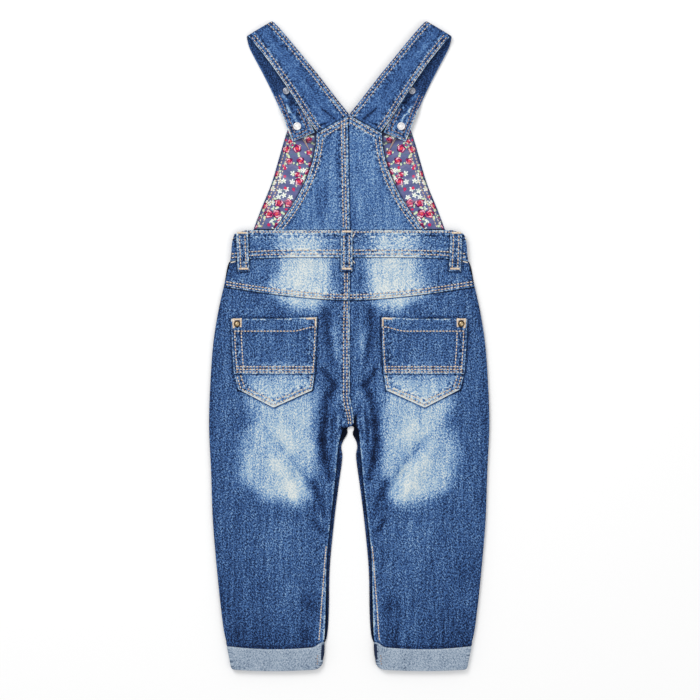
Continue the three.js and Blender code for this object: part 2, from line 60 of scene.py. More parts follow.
sideSeam = table(("y", "x"), (-322, 114.6), (-302, 118.9), (-292, 123.6), (-270, 127.2), (-225, 132),
                 (-175, 136.2), (-125, 138), (-80, 140), (-40, 138.8), (0, 136), (30, 131.5), (60, 125),
                 (86, 118.5), (104, 116.6), (116, 112.5))
backInseam = table(("y", "x"), (-322, 31.2), (-302, 27.8), (-292, 24.8), (-252, 23.4), (-209, 22.2),
                   (-166, 17.6), (-132, 13.8), (-105, 11.4), (-95, 10.2), (-88, 8.6), (-84, 6.8),
                   (-81.5, 3.6), (-80, halfGap))
frontInseam = table(("y", "x"), (-322, 31.2), (-302, 27.8), (-293, 22.8), (-271, 20.6), (-223, 19.5),
                    (-175, 15), (-139, 10.5), (-121, 7.9), (-110, 6.8), (-100, 7), (-92, 6.3), (-87, 5.2),
                    (-83, 4.2), (-81, 2.4), (-80, halfGap))
frontBibSide = table(("y", "x"), (115, 96), (137, 87.7), (161, 77.9), (185, 70.7), (209, 63.7), (227, 57.5))
pocketOutline = table(("y", "inner", "outer"), (-63, 75.1, 75.7), (-54.5, 56, 93.2), (-45.5, 37.2, 110.2),
                      (-27, 34.4, 114.9), (0, 33, 116.8), (28.5, 32, 117.8))
backFullness = table(("y", "rise"), (-322, 0), (-299, 0), (-280, 2.2), (-200, 3.1), (-100, 3.3), (-20, 3.2),
                     (40, 2.7), (84, 1.4), (115, 1.1), (160, 1.6), (232, 0.9))
strapEdges = table(("y", "outer", "neck"), (-12, 19.2, 16.8), (0, 18.7, 17.0), (12, 18.4, 17.1),
                   (24, 17.2, 17.3), (36, 15.9, 17.6), (48, 14.7, 17.8), (60, 13.6, 17.7), (84, 12.0, 17.6),
                   (100, 11.7, 17.3), (110, 11.8, 16.8), (116, 12.0, 15.8), (119, 12.4, 14.4),
                   (123, 13.4, 13.4), (132, 15.0, 13.0), (145, 14.3, 12.2), (160, 12.9, 11.0),
                   (181, 11.5, 9.9), (205, 11.0, 10.6), (238, 11.9, 12.2))
strapRise = table(("y", "mid"), (-8, 4.6), (0, 4.9), (18, 6.3), (45, 6.6), (117.7, 6.8))

# Creases of each back leg from one end to the other, in |x|: troughs are negative
legFolds = table(("x1", "y1", "x2", "y2", "width", "height"),
                 (22, 40, 18, -41, 6.5, -2.0), (18, -41, 25, -70, 6, -2.0), (25, -70, 25, -134, 6, -2.4),
                 (7, -56, 17, -92, 4, -1.3), (70, -100, 52, -131, 5, -1.5), (52, -131, 27, -164, 5.5, -2.0),
                 (77, -112, 50, -156, 8, 1.2), (37, -174, 26, -188, 4.5, -1.4), (60, -228, 63, -290, 9, 0.9),
                 (44, -252, 36, -272, 6, -1.2), (41, -278, 41, -296, 4.5, -1.2), (110, -278, 111, -296, 5, -1.0))
# Smaller ones that only the surface has
fineFolds = table(("x1", "y1", "x2", "y2", "width", "height"),
                  (12, 30, 10, 4, 2.2, -0.5), (30, 24, 28, -12, 2.4, 0.5), (14, -30, 11, -52, 2.0, -0.5),
                  (31, -62, 33, -96, 2.6, 0.6), (20, -98, 18, -128, 2.0, -0.5), (46, -146, 34, -166, 1.8, 0.6),
                  (60, -118, 56, -128, 1.2, -0.6), (53, -124, 47, -140, 1.3, 0.6), (43, -143, 37, -156, 1.2, -0.7),
                  (88, -66, 70, -76, 3.0, -0.3), (30, -200, 25, -212, 2.2, -0.5), (96, -282, 97, -297, 2.4, -0.5),
                  (76, -284, 75, -298, 3.0, 0.4), (56, -282, 54, -297, 2.2, -0.5), (31, -284, 30, -297, 2.0, -0.5),
                  (108, 52, 122, 44, 2.6, -0.4), (92, 44, 112, 36, 2.6, 0.3), (128, -20, 132, -70, 4.0, -0.5))


def curveThrough(rows, column):
    ys = np.array([row["y"] for row in rows], float)
    values = np.array([row[column] for row in rows], float)
    slopes = np.empty_like(values)
    slopes[1:-1] = (values[2:] - values[:-2]) / (ys[2:] - ys[:-2])
    slopes[0] = (values[1] - values[0]) / (ys[1] - ys[0])
    slopes[-1] = (values[-1] - values[-2]) / (ys[-1] - ys[-2])

    def at(y):
        i = np.clip(np.searchsorted(ys, y) - 1, 0, len(ys) - 2)
        step = ys[i + 1] - ys[i]
        t = np.clip((y - ys[i]) / step, 0, 1)
        start = (1 + 2 * t) * (1 - t) ** 2 * values[i] + t * (1 - t) ** 2 * slopes[i] * step
        return start + t * t * (3 - 2 * t) * values[i + 1] + t * t * (t - 1) * slopes[i + 1] * step
    return at


def smooth(value, low, high):
    t = np.clip((value - low) / (high - low), 0, 1)
    return t * t * (3 - 2 * t)


def mix(a, b, t):
    return a + (b - a) * t


def softNoise(x, y, size, seed):
    # even noise from -1 to 1, one lump every `size` millimetres
    gx, gy = x / size + seed * 17.31, y / size + seed * 9.13
    ix, iy = np.floor(gx), np.floor(gy)
    fx, fy = gx - ix, gy - iy
    fx, fy = fx * fx * (3 - 2 * fx), fy * fy * (3 - 2 * fy)

    def lattice(i, j):
        v = np.sin(i * 127.1 + j * 311.7 + seed * 74.7) * 43758.5453
        return v - np.floor(v)
    low = mix(lattice(ix, iy), lattice(ix + 1, iy), fx)
    high = mix(lattice(ix, iy + 1), lattice(ix + 1, iy + 1), fx)
    return mix(low, high, fy) * 2 - 1


def foldHeight(folds, x, y):
    total = np.zeros_like(x)
    for fold in folds:
        ax, ay = fold["x2"] - fold["x1"], fold["y2"] - fold["y1"]
        length = math.hypot(ax, ay)
        ax, ay = ax / length, ay / length
        dx, dy = x - fold["x1"], y - fold["y1"]
        along = dx * ax + dy * ay
        aside = dx * ay - dy * ax
        beyond = np.maximum(np.maximum(-along, along - length), 0)
        width = fold["width"]
        total = total + fold["height"] * np.exp(-(aside / width) ** 2 - (beyond / (1.6 * width)) ** 2)
    return total


sideX = curveThrough(sideSeam, "x")
backInseamX = curveThrough(backInseam, "x")
frontInseamX = curveThrough(frontInseam, "x")
bibSideX = curveThrough(frontBibSide, "x")
fullnessAt = curveThrough(backFullness, "rise")
strapOuter = curveThrough(strapEdges, "outer")
strapNeck = curveThrough(strapEdges, "neck")
backRunHeight = curveThrough(strapRise, "mid")
yokeSide = garment["yokeCentre"] + garment["yokeRise"]
bandSide = garment["waistTop"] - garment["bandDepth"] - garment["bandDrop"]


def innerX(edge, y):
    return np.where(y > garment["crotch"], halfGap, np.maximum(edge(y), halfGap))


def seatDrift(x, y):
    return 2 * smooth(-y, 48, 76) * (1 - smooth(-y, 80, 104)) * np.maximum(1 - np.abs(x) / 30, 0)


def middleSeam(y):
    # x of the lapped edge down the middle: it leans over the bib and dies out at the crotch
    leaning = mix(0.7, -1.3, np.clip((y - 116) / 104, 0, 1))
    return leaning * (1 - smooth(-y, 48, 76)) + 2.6 * smooth(-y, 46, 74) * (1 - smooth(-y, 79.4, 84))


def besideMiddle(x, y):
    return middleSeam(y) * np.maximum(1 - np.abs(x) / 28, 0)


def bandTop(x):
    return garment["waistTop"] - garment["bandDrop"] * smooth(np.abs(x), 98, 118)


def bandBottom(x):
    return garment["waistTop"] - garment["bandDepth"] - garment["bandDrop"] * (np.abs(x) / 119) ** 5


def yokeSeam(x):
    return garment["yokeCentre"] + garment["yokeRise"] * (np.abs(x) / sideX(np.array(yokeSide))) ** 1.6


bibShape = {"neckPoint": 229.9, "cornerX": 32.5, "cornerY": 211.9, "flare": 43.0, "power": 1.9}


def bibTop(share):
    return mix(bibShape["neckPoint"], bibShape["cornerY"], share)


def armholeX(y):
    drop = np.maximum(bibShape["cornerY"] - y, 0) / (bibShape["cornerY"] - garment["waistTop"])
    return bibShape["cornerX"] + bibShape["flare"] * drop ** bibShape["power"]


def frontUnder(x, y):
    lift = (garment["denim"] + garment["gap"]) * smooth(-y, 284, 299)
    curl = 0.8 * np.clip((np.abs(x) - sideX(y) + garment["curl"]) / garment["curl"], 0, 1)
    return lift + curl * (1 - smooth(-y, 284, 299))


def backUnder(x, y):
    band = bandBottom(x)
    onBand = smooth(y, band - 9, band - 1)
    onBib = smooth(y, garment["waistTop"], garment["waistTop"] + 4)
    below = (frontUnder(x, y) + garment["denim"] + (garment["doubled"] - garment["denim"]) * onBand
             + (garment["gap"] + garment["lining"] + garment["denim"] - garment["doubled"]) * onBib)
    across = np.abs(x - seatDrift(x, y))
    outer = np.where(y > garment["waistTop"] + 1, armholeX(y), sideX(y))
    inner = np.where(y > garment["crotch"], np.hypot(across, y - garment["crotch"]),
                     across - innerX(backInseamX, y))
    reach = np.where(y > garment["waistTop"], 14, 24)
    fromOuter = np.sin(np.clip((outer - across) / reach, 0, 1) * math.pi / 2)
    fromInner = np.sin(np.clip(inner / 16, 0, 1) * math.pi / 2)
    room = np.maximum(fullnessAt(y) + foldHeight(legFolds, across, y) * smooth(y, -299, -290), 0)
    return below + garment["gap"] + room * fromOuter * fromInner


def surface(x, y, seam):
    # the fine relief that sewing and washing give the back panels: creases, and puckers beside a seam
    across = np.abs(x)
    clear = smooth(y, -299, -290) * smooth(sideX(np.minimum(y, 112)) - across, 1, 8)
    small = 0.55 * foldHeight(fineFolds, across, y) * clear
    pucker = 0.26 * softNoise(x, y, 3.6, 3) * np.exp(-((seam - 5.5) / 4.2) ** 2)
    channel = -0.16 * np.exp(-((seam - 2.6) / 0.9) ** 2) - 0.16 * np.exp(-((seam - 6.2) / 0.9) ** 2)
    edge = -0.45 * (1 - smooth(seam, 0, 0.9))
    return small + pucker + channel + edge + 0.12 * softNoise(x, y, 9, 5)


# Fading and painted shade: where the cloth is faded and where shade is painted on it
# Sanded patches with soft edges, by their corners
sanded = [
    {"corners": [(103, -30), (103, -58), (97, -77), (108, -90), (111, -106), (109, -127), (97, -144), (74, -155),
                 (57, -159), (41, -155), (40, -142), (33, -124), (31, -99), (35, -74), (32, -50), (34, -30)],
     "soft": 9.0, "amount": 0.56},
    {"corners": [(104, -34), (100, -44), (76, -60), (52, -44), (40, -30), (66, -31)], "soft": 9.0, "amount": 0.20},
    {"corners": [(64, 90), (72, 74), (84, 56), (56, 47), (24, 46), (17, 60), (18, 90), (40, 92)],
     "soft": 10.0, "amount": 0.56},
    {"corners": [(74, 118), (70, 86), (26, 86), (22, 118)], "soft": 12.0, "amount": 0.50},
    {"corners": [(76, 50), (62, 42), (52, 36), (34, 37), (24, 44), (30, 50)], "soft": 7.0, "amount": 0.58},
]
sideShading = {"sideShade": 0.22, "sideWidth": 12.0}
fadeSpots = table(("x", "y", "rx", "ry", "turn", "amount"),
                  (68, -82, 17, 17, 0, 0.42), (60, -60, 26, 12, 0, 0.16), (50, -95, 14, 26, 0, 0.14),
                  (88, -126, 16, 16, 0, 0.20), (66, -142, 16, 12, 0, 0.56), (46, 80, 12, 13, 0, 0.50),
                  (44, 58, 22, 9, 8, 0.50), (27, 76, 8, 12, 0, 0.26), (50, 43, 14, 7, 8, 0.36),
                  (43, 100, 12, 14, 0, 0.34), (13, 8, 5, 20, 0, 0.20), (72, -48, 20, 8, 0, 0.18),
                  (62, -226, 22, 46, 0, 0.03), (72, -8, 30, 22, 0, 0.04), (70, -23, 30, 6, 0, 0.30), (60, -97, 15, 18, 0, 0.40), (44, 28, 15, 9, 0, 0.18), (34, 40, 12, 7, 0, 0.16),
                  (12, -50, 4, 16, 0, 0.10), (80, 34, 22, 6, 0, 0.08),
                  (56, -250, 5, 22, 0, 0.07), (80, -190, 5, 40, 0, 0.05), (106, -200, 6, 50, 0, 0.04),
                  (65, -272, 4, 14, 0, 0.06), (54, -286, 3, 10, 0, 0.08),
                  (66, -198, 14, 36, 0, 0.10), (94, -176, 8, 16, 0, 0.05), (62, -284, 7, 14, 0, 0.08), (108, -290, 3, 8, 0, 0.08))
shadeSpots = table(("x", "y", "rx", "ry", "turn", "amount"),
                   (102, -72, 12, 13, 20, 0.14), (70, 33, 16, 5, -12, 0.20), (22, 30, 8, 14, 0, 0.22),
                   (26, -92, 7, 24, 0, 0.12), (72, -296, 60, 10, 0, 0.24), (112, -225, 12, 60, 0, 0.14), (66, -276, 60, 16, 0, 0.14),
                   (100, -38, 7, 8, 0, 0.20), (108, -112, 5, 14, 0, 0.20), (74, -236, 40, 34, 0, 0.12),
                   (96, -170, 10, 30, 0, 0.08), (112, -290, 6, 12, 0, 0.26), (84, 62, 11, 11, 0, 0.18), (108, -284, 14, 16, 0, 0.13),
                   (34, -34, 5, 18, 8, 0.24), (28, -100, 4, 20, 0, 0.16),
                   (44, -290, 6, 12, 0, 0.22), (41, -258, 7, 12, 0, 0.24), (34, -162, 8, 10, 0, 0.22),
                   (60, -172, 26, 6, 0, 0.06), (14, -80, 7, 12, 0, 0.08), (118, 70, 8, 12, 0, 0.16),
                   (92, 60, 10, 8, 0, 0.08), (100, -150, 14, 12, 0, 0.03), (11, 64, 7, 9, 0, 0.14))
# Creases as drawn strokes: painted shade where the cloth dips, and pale strokes, partly rubbed wear and partly painted
# highlight on the crests
darkStrokes = table(("x1", "y1", "w1", "x2", "y2", "w2", "amount"),
                    (23, 34, 4, 20, 2, 4, 0.32), (20, 8, 3.6, 18, -17, 3.8, 0.30), (26, -24, 2.8, 15, -40, 3.2, 0.66),
                    (15, -40, 3.0, 20, -50, 3.2, 0.60), (21, -48, 3.2, 25, -76, 3.2, 0.64), (25, -76, 3.4, 27, -94, 3.8, 0.70),
                    (27, -94, 4.0, 24, -112, 3.6, 0.68), (24, -112, 3.6, 20, -133, 2.6, 0.72), (10, -60, 1.3, 18, -77, 1.7, 0.46),
                    (18, -77, 1.7, 18, -96, 1.9, 0.50), (9, -76, 1.2, 13, -92, 1.5, 0.36), (37, -135, 2.4, 31, -150, 3.2, 0.42),
                    (31, -150, 3.2, 25, -170, 2.6, 0.34), (36, -174, 2.4, 27, -187, 3.0, 0.46), (70, -98, 1.6, 67, -105, 1.4, 0.26),
                    (78, -92, 4, 57, -114, 3.4, 0.14), (57, -114, 3.4, 38, -137, 4, 0.22), (57, -124, 0.9, 54, -131, 0.9, 0.26),
                    (48, -134, 0.9, 45, -139, 1.2, 0.26), (46, -256, 5, 38, -262, 5, 0.20), (112, -286, 2.4, 113, -298, 2.4, 0.26),
                    (47, -284, 3, 46, -298, 3, 0.24), (72, -284, 2.4, 74, -298, 2.4, 0.18), (94, -286, 2.4, 93, -298, 2.4, 0.14),
                    (104, -92, 1, 128, -95, 1, 0.10), (9, -66, 1.0, 5, -76, 1.3, 0.30), (24, -196, 1.6, 34, -206, 1.4, 0.30),
                    (24, -210, 1.3, 33, -220, 1.2, 0.22), (23, -148, 1.4, 27, -162, 1.4, 0.12), (60, 8, 1.4, 52, 4, 1.4, 0.10))
paleStrokes = table(("x1", "y1", "w1", "x2", "y2", "w2", "amount"),
                    (77, -112, 6, 62, -130, 7.5, 0.58), (62, -130, 7.5, 55, -150, 6.5, 0.66), (58, -117, 2, 47, -137, 2.6, 0.50),
                    (47, -137, 2.6, 42, -150, 4, 0.56), (16, 14, 3.5, 11, -10, 3.5, 0.16), (13, -66, 1.6, 12, -84, 1.8, 0.26),
                    (114, -94, 0.7, 128, -94, 0.7, 0.14), (30, -60, 2, 32, -84, 2, 0.10), (9, -46, 2, 7, -60, 2, 0.16),
                    (20, -138, 2, 22, -150, 2, 0.10), (7, -74, 1.4, 11, -90, 1.6, 0.30), (11, -90, 1.6, 13, -112, 1.4, 0.26), (21, -72, 1.5, 21, -100, 1.6, 0.26), (20, -50, 1.4, 21, -72, 1.5, 0.18),
                    (14, -78, 1.2, 15, -100, 1.4, 0.16), (22, -118, 1.3, 25, -136, 1.4, 0.12), (28, -188, 1.3, 25, -202, 1.3, 0.16),
                    (31, -156, 1.4, 28, -176, 1.4, 0.12))


def softPatch(patch, x, y):
    # how far inside the patch a point lies, from 0 outside its soft edge to 1
    corners = patch["corners"]
    nearest, inside = np.full(x.shape, 1e9), np.zeros(x.shape, bool)
    for (ax, ay), (bx, by) in zip(corners, corners[1:] + corners[:1]):
        ex, ey = bx - ax, by - ay
        t = np.clip(((x - ax) * ex + (y - ay) * ey) / (ex * ex + ey * ey), 0, 1)
        nearest = np.minimum(nearest, np.hypot(x - ax - t * ex, y - ay - t * ey))
        crosses = ((ay > y) != (by > y)) & (x < ax + (y - ay) * ex / (ey if ey else 1e-9))
        inside ^= crosses
    return smooth(np.where(inside, nearest, -nearest), -patch["soft"], patch["soft"])


def spots(rows, x, y):
    left = np.ones_like(x)
    for spot in rows:
        turn = math.radians(spot["turn"])
        dx, dy = x - spot["x"], y - spot["y"]
        a = (dx * math.cos(turn) + dy * math.sin(turn)) / spot["rx"]
        b = (-dx * math.sin(turn) + dy * math.cos(turn)) / spot["ry"]
        left = left * (1 - spot["amount"] * np.exp(-(a * a + b * b)))
    return left


def strokes(rows, x, y):
    left = np.ones_like(x)
    for row in rows:
        ex, ey = row["x2"] - row["x1"], row["y2"] - row["y1"]
        t = np.clip(((x - row["x1"]) * ex + (y - row["y1"]) * ey) / (ex * ex + ey * ey), 0, 1)
        away = np.hypot(x - row["x1"] - t * ex, y - row["y1"] - t * ey) / mix(row["w1"], row["w2"], t)
        left = left * (1 - row["amount"] * np.exp(-away ** 2))
    return left


def fadeAndShadeOf(x, y):
    across = np.abs(x - seatDrift(x, y))
    edgeX = across + 1.6 * softNoise(x, y, 14, 7) + 0.9 * softNoise(x, y, 5, 8)
    edgeY = y + 1.6 * softNoise(x, y, 14, 11) + 0.9 * softNoise(x, y, 5, 12)
    left = spots(fadeSpots, edgeX, edgeY) * strokes(paleStrokes, across, y)
    for patch in sanded:
        left = left * (1 - patch["amount"] * softPatch(patch, edgeX, edgeY))
    shade = 1 - spots(shadeSpots, edgeX, edgeY) * strokes(darkStrokes, across, y)
    # painted shade darkening the cloth towards the side seams
    side = sideShading["sideShade"] * (1 - smooth(sideX(np.minimum(y, 112)) - across, 0, sideShading["sideWidth"]))
    return (1 - left) * (1 - 0.45 * shade), shade + side * (y < 84)


# Nodes
def addNode(tree, kind, inputs=None, **settings):
    node = tree.nodes.new("ShaderNode" + kind)
    for key, value in settings.items():
        setattr(node, key, value)
    for key, value in (inputs or {}).items():
        feed(tree, value, node.inputs[key])
    return node


def feed(tree, value, socket):
    if isinstance(value, bpy.types.NodeSocket):
        tree.links.new(value, socket)
    else:
        socket.default_value = value


def maths(tree, operation, *values, clamp=False):
    node = addNode(tree, "Math", operation=operation, use_clamp=clamp)
    for i, value in enumerate(values):
        feed(tree, value, node.inputs[i])
    return node.outputs[0]


def ranged(tree, value, low, high, toLow=0.0, toHigh=1.0, soft=True):
    kind = "SMOOTHSTEP" if soft else "LINEAR"
    node = addNode(tree, "MapRange", {"Value": value, "From Min": low, "From Max": high, "To Min": toLow,
                                      "To Max": toHigh}, interpolation_type=kind)
    return node.outputs["Result"]


def blend(tree, share, a, b):
    node = addNode(tree, "Mix", data_type="RGBA")
    feed(tree, share, node.inputs["Factor"])
    feed(tree, a, node.inputs[6])
    feed(tree, b, node.inputs[7])
    return node.outputs[2]


def stretched(tree, vector, scale):
    node = addNode(tree, "Mapping", vector_type="POINT")
    feed(tree, vector, node.inputs["Vector"])
    node.inputs["Scale"].default_value = scale
    return node.outputs["Vector"]


def lumps(tree, vector, scale, detail=2.0, roughness=0.6):
    node = addNode(tree, "TexNoise", {"Vector": stretched(tree, vector, scale), "Scale": 1.0, "Detail": detail,
                                      "Roughness": roughness}, noise_dimensions="2D")
    return node.outputs["Fac"]


def ramp(tree, value, stops):
    node = addNode(tree, "ValToRGB", {"Fac": value})
    points = node.color_ramp.elements
    while len(points) < len(stops):
        points.new(0.5)
    for point, (place, colour) in zip(points, stops):
        point.position = place
        point.color = (*colour, 1.0)
    return node.outputs["Color"]


def newGroup(name, inputs, outputs):
    tree = bpy.data.node_groups.new(name, "ShaderNodeTree")
    for socketName, kind, value in inputs:
        socket = tree.interface.new_socket(name=socketName, in_out="INPUT", socket_type="NodeSocket" + kind)
        if kind == "Float":
            socket.default_value = value
    for socketName, kind in outputs:
        tree.interface.new_socket(name=socketName, in_out="OUTPUT", socket_type="NodeSocket" + kind)
    return tree, tree.nodes.new("NodeGroupInput").outputs, tree.nodes.new("NodeGroupOutput").inputs


# Yarn: the twill's ribs, the salt and pepper of white weft, and slubs along the warp
def makeYarnGroup():
    tree, given, result = newGroup("indigoYarn", [("Cloth", "Vector", None)],
                                   [("Speckle", "Float"), ("Slub", "Float"), ("Cloud", "Float"), ("Rib", "Float")])
    cloth = given["Cloth"]
    parts = addNode(tree, "SeparateXYZ", {"Vector": cloth})
    x, y = parts.outputs["X"], parts.outputs["Y"]
    acrossTwill = maths(tree, "MULTIPLY_ADD", x, 0.82, maths(tree, "MULTIPLY", y, 0.57))
    alongTwill = maths(tree, "MULTIPLY_ADD", y, 0.82, maths(tree, "MULTIPLY", x, -0.57))
    twill = addNode(tree, "CombineXYZ", {"X": acrossTwill, "Y": alongTwill}).outputs[0]
    fine = lumps(tree, twill, (860, 560, 1), 2.0, 0.75)
    coarse = lumps(tree, cloth, (420, 300, 1), 1.0, 0.5)
    both = maths(tree, "ADD", maths(tree, "MULTIPLY", fine, 0.90), maths(tree, "MULTIPLY", coarse, 0.10))
    tree.links.new(ranged(tree, both, 0.34, 0.66, soft=False), result["Speckle"])
    slub = lumps(tree, cloth, (330, 26, 1), 2.0, 0.6)
    tree.links.new(ranged(tree, slub, 0.32, 0.68, soft=False), result["Slub"])
    cloud = lumps(tree, cloth, (62, 48, 1), 3.0, 0.6)
    tree.links.new(ranged(tree, cloud, 0.3, 0.7, soft=False), result["Cloud"])
    rib = maths(tree, "SINE", maths(tree, "MULTIPLY", acrossTwill, 7300))
    tree.links.new(maths(tree, "MULTIPLY_ADD", rib, 0.5, 0.5), result["Rib"])
    return tree


# Wash and painted shade: from yarn, fading, painted shade and the distance to a sewn edge to the indigo's colour and
# its relief
def makeWashAndShadeGroup(yarnGroup):
    tree, given, result = newGroup(
        "indigoWashAndShade",
        [("Cloth", "Vector", None), ("Fade", "Float", 0.0), ("Shade", "Float", 0.0), ("Seam", "Float", 16.0),
         ("Depth", "Float", 0.36), ("Contrast", "Float", 1.0)],
        [("Color", "Color"), ("Height", "Float")])
    yarn = tree.nodes.new("ShaderNodeGroup")
    yarn.node_tree = yarnGroup
    tree.links.new(given["Cloth"], yarn.inputs["Cloth"])
    speckle, slub, cloud, rib = (yarn.outputs[i] for i in range(4))
    seam = given["Seam"]

    def centred(value, amount):
        return maths(tree, "MULTIPLY", maths(tree, "SUBTRACT", value, 0.5), amount)

    # blotchy edges where the fading ends
    paleness = maths(tree, "ADD", given["Fade"], maths(tree, "MULTIPLY", centred(cloud, 0.16), ranged(
        tree, given["Fade"], 0.02, 0.25)), clamp=True)
    level = maths(tree, "MULTIPLY_ADD", paleness, 0.66, given["Depth"])
    grain = maths(tree, "MULTIPLY", maths(tree, "ADD", centred(speckle, 0.66), centred(slub, 0.15)), given["Contrast"])
    calm = ranged(tree, paleness, 0.4, 0.9, 1.0, 0.55)
    level = maths(tree, "ADD", level, maths(tree, "MULTIPLY", grain, calm))
    level = maths(tree, "ADD", level, centred(cloud, 0.05))
    level = maths(tree, "ADD", level, centred(rib, 0.03))

    # a sewn edge: pale on its ridge, partly wear and partly painted highlight, blotched as far as the second row of
    # stitches, puckered beyond
    worn = lumps(tree, given["Cloth"], (420, 420, 1), 2.0, 0.7)
    wornAndLitMore = ranged(tree, worn, 0.34, 0.62)
    ridge = maths(tree, "MULTIPLY", ranged(tree, seam, 0.5, 1.6, 1.0, 0.0), maths(
        tree, "ADD", maths(tree, "MULTIPLY_ADD", wornAndLitMore, 0.20, 0.08), maths(tree, "MULTIPLY", paleness, 0.25)))
    rope = lumps(tree, given["Cloth"], (330, 330, 1), 1.0, 0.6)
    roping = maths(tree, "MULTIPLY", ranged(tree, seam, 7.2, 9.0, 1.0, 0.0), centred(ranged(tree, rope, 0.38, 0.62), 0.36))
    pucker = maths(tree, "MULTIPLY", maths(tree, "MULTIPLY", ranged(tree, seam, 6.6, 8.0), ranged(
        tree, seam, 9.5, 15.0, 1.0, 0.0)), centred(ranged(tree, rope, 0.36, 0.64), 0.20))
    # painted shade along the two rows of stitches
    furrowShade = maths(tree, "MULTIPLY", maths(tree, "COMPARE", seam, 2.6, 0.55), -0.17)
    second = maths(tree, "MULTIPLY", maths(tree, "COMPARE", seam, 6.2, 0.55), -0.17)
    for extra in (ridge, roping, pucker, furrowShade, second):
        level = maths(tree, "ADD", level, extra)
    # painted shade darkens the level
    level = maths(tree, "SUBTRACT", level, maths(tree, "MULTIPLY", given["Shade"], 0.42), clamp=True)
    colour = ramp(tree, level, [
        (0.0, (0.005, 0.011, 0.036)), (0.16, (0.015, 0.036, 0.106)), (0.35, (0.040, 0.100, 0.272)),
        (0.50, (0.076, 0.180, 0.402)), (0.68, (0.242, 0.392, 0.572)), (0.83, (0.405, 0.522, 0.605)),
        (1.0, (0.700, 0.726, 0.694))])
    # painted deep shadow: where the painted shade is heaviest the colour goes nearly black
    pitch = ranged(tree, given["Shade"], 0.80, 1.0, 0.0, 0.88)
    tree.links.new(blend(tree, pitch, colour, (0.0012, 0.002, 0.006, 1)), result["Color"])
    height = maths(tree, "ADD", maths(tree, "MULTIPLY", speckle, 0.5), maths(tree, "MULTIPLY", rib, 0.35))
    height = maths(tree, "ADD", height, maths(tree, "MULTIPLY", rope, ranged(tree, seam, 8.0, 12.0, 1.2, 0.0)))
    tree.links.new(height, result["Height"])
    return tree


def newMaterial(name, roughness, sheen=0.0, metallic=0.0, specular=0.3):
    material = bpy.data.materials.new(name)
    material.use_nodes = True
    tree = material.node_tree
    shader = tree.nodes["Principled BSDF"]
    shader.inputs["Roughness"].default_value = roughness
    shader.inputs["Metallic"].default_value = metallic
    shader.inputs["Specular IOR Level"].default_value = specular
    shader.inputs["Sheen Weight"].default_value = sheen
    return material, tree, shader


def relief(tree, shader, height, depth):
    bump = addNode(tree, "Bump", {"Height": height, "Strength": 1.0, "Distance": depth})
    tree.links.new(bump.outputs["Normal"], shader.inputs["Normal"])


def clothInputs(tree):
    # the colour attribute holds fading with painted highlights, painted shade and the distance to a sewn edge over 16
    # mm
    uv = addNode(tree, "UVMap", uv_map="cloth").outputs["UV"]
    toneAndShade = addNode(tree, "Attribute", attribute_name="toneAndShade")
    parts = addNode(tree, "SeparateColor", {"Color": toneAndShade.outputs["Color"]})
    seam = maths(tree, "MULTIPLY", parts.outputs["Blue"], 16.0)
    return uv, parts.outputs["Red"], parts.outputs["Green"], seam


def denimMaterial(name, washAndShadeGroup, depth, contrast, bumpDepth=0.00022):
    material, tree, shader = newMaterial(name, 0.92, specular=0.08)
    uv, paleness, shade, seam = clothInputs(tree)
    wash = tree.nodes.new("ShaderNodeGroup")
    wash.node_tree = washAndShadeGroup
    for key, value in {"Cloth": uv, "Fade": paleness, "Shade": shade, "Seam": seam}.items():
        tree.links.new(value, wash.inputs[key])
    wash.inputs["Depth"].default_value = depth
    wash.inputs["Contrast"].default_value = contrast
    tree.links.new(wash.outputs["Color"], shader.inputs["Base Color"])
    relief(tree, shader, wash.outputs["Height"], bumpDepth)
    return material


# The turned-up hems show the pale wrong side: white weft over indigo warp
def reverseMaterial(yarnGroup):
    material, tree, shader = newMaterial("denim wrong side", 0.92, specular=0.08)
    uv, paleness, shade, seam = clothInputs(tree)
    yarn = tree.nodes.new("ShaderNodeGroup")
    yarn.node_tree = yarnGroup
    tree.links.new(uv, yarn.inputs["Cloth"])
    level = maths(tree, "MULTIPLY_ADD", yarn.outputs["Speckle"], 0.64, 0.13)
    level = maths(tree, "ADD", level, maths(tree, "MULTIPLY", maths(tree, "SUBTRACT", yarn.outputs["Cloud"], 0.5), 0.14))
    level = maths(tree, "ADD", level, maths(tree, "MULTIPLY", paleness, 0.45))
    level = maths(tree, "SUBTRACT", level, shade, clamp=True)
    colour = ramp(tree, level, [(0.0, (0.016, 0.026, 0.06)), (0.2, (0.15, 0.21, 0.30)),
                                (0.5, (0.315, 0.385, 0.475)), (1.0, (0.52, 0.58, 0.64))])
    tree.links.new(colour, shader.inputs["Base Color"])
    relief(tree, shader, yarn.outputs["Speckle"], 0.00012)
    return material


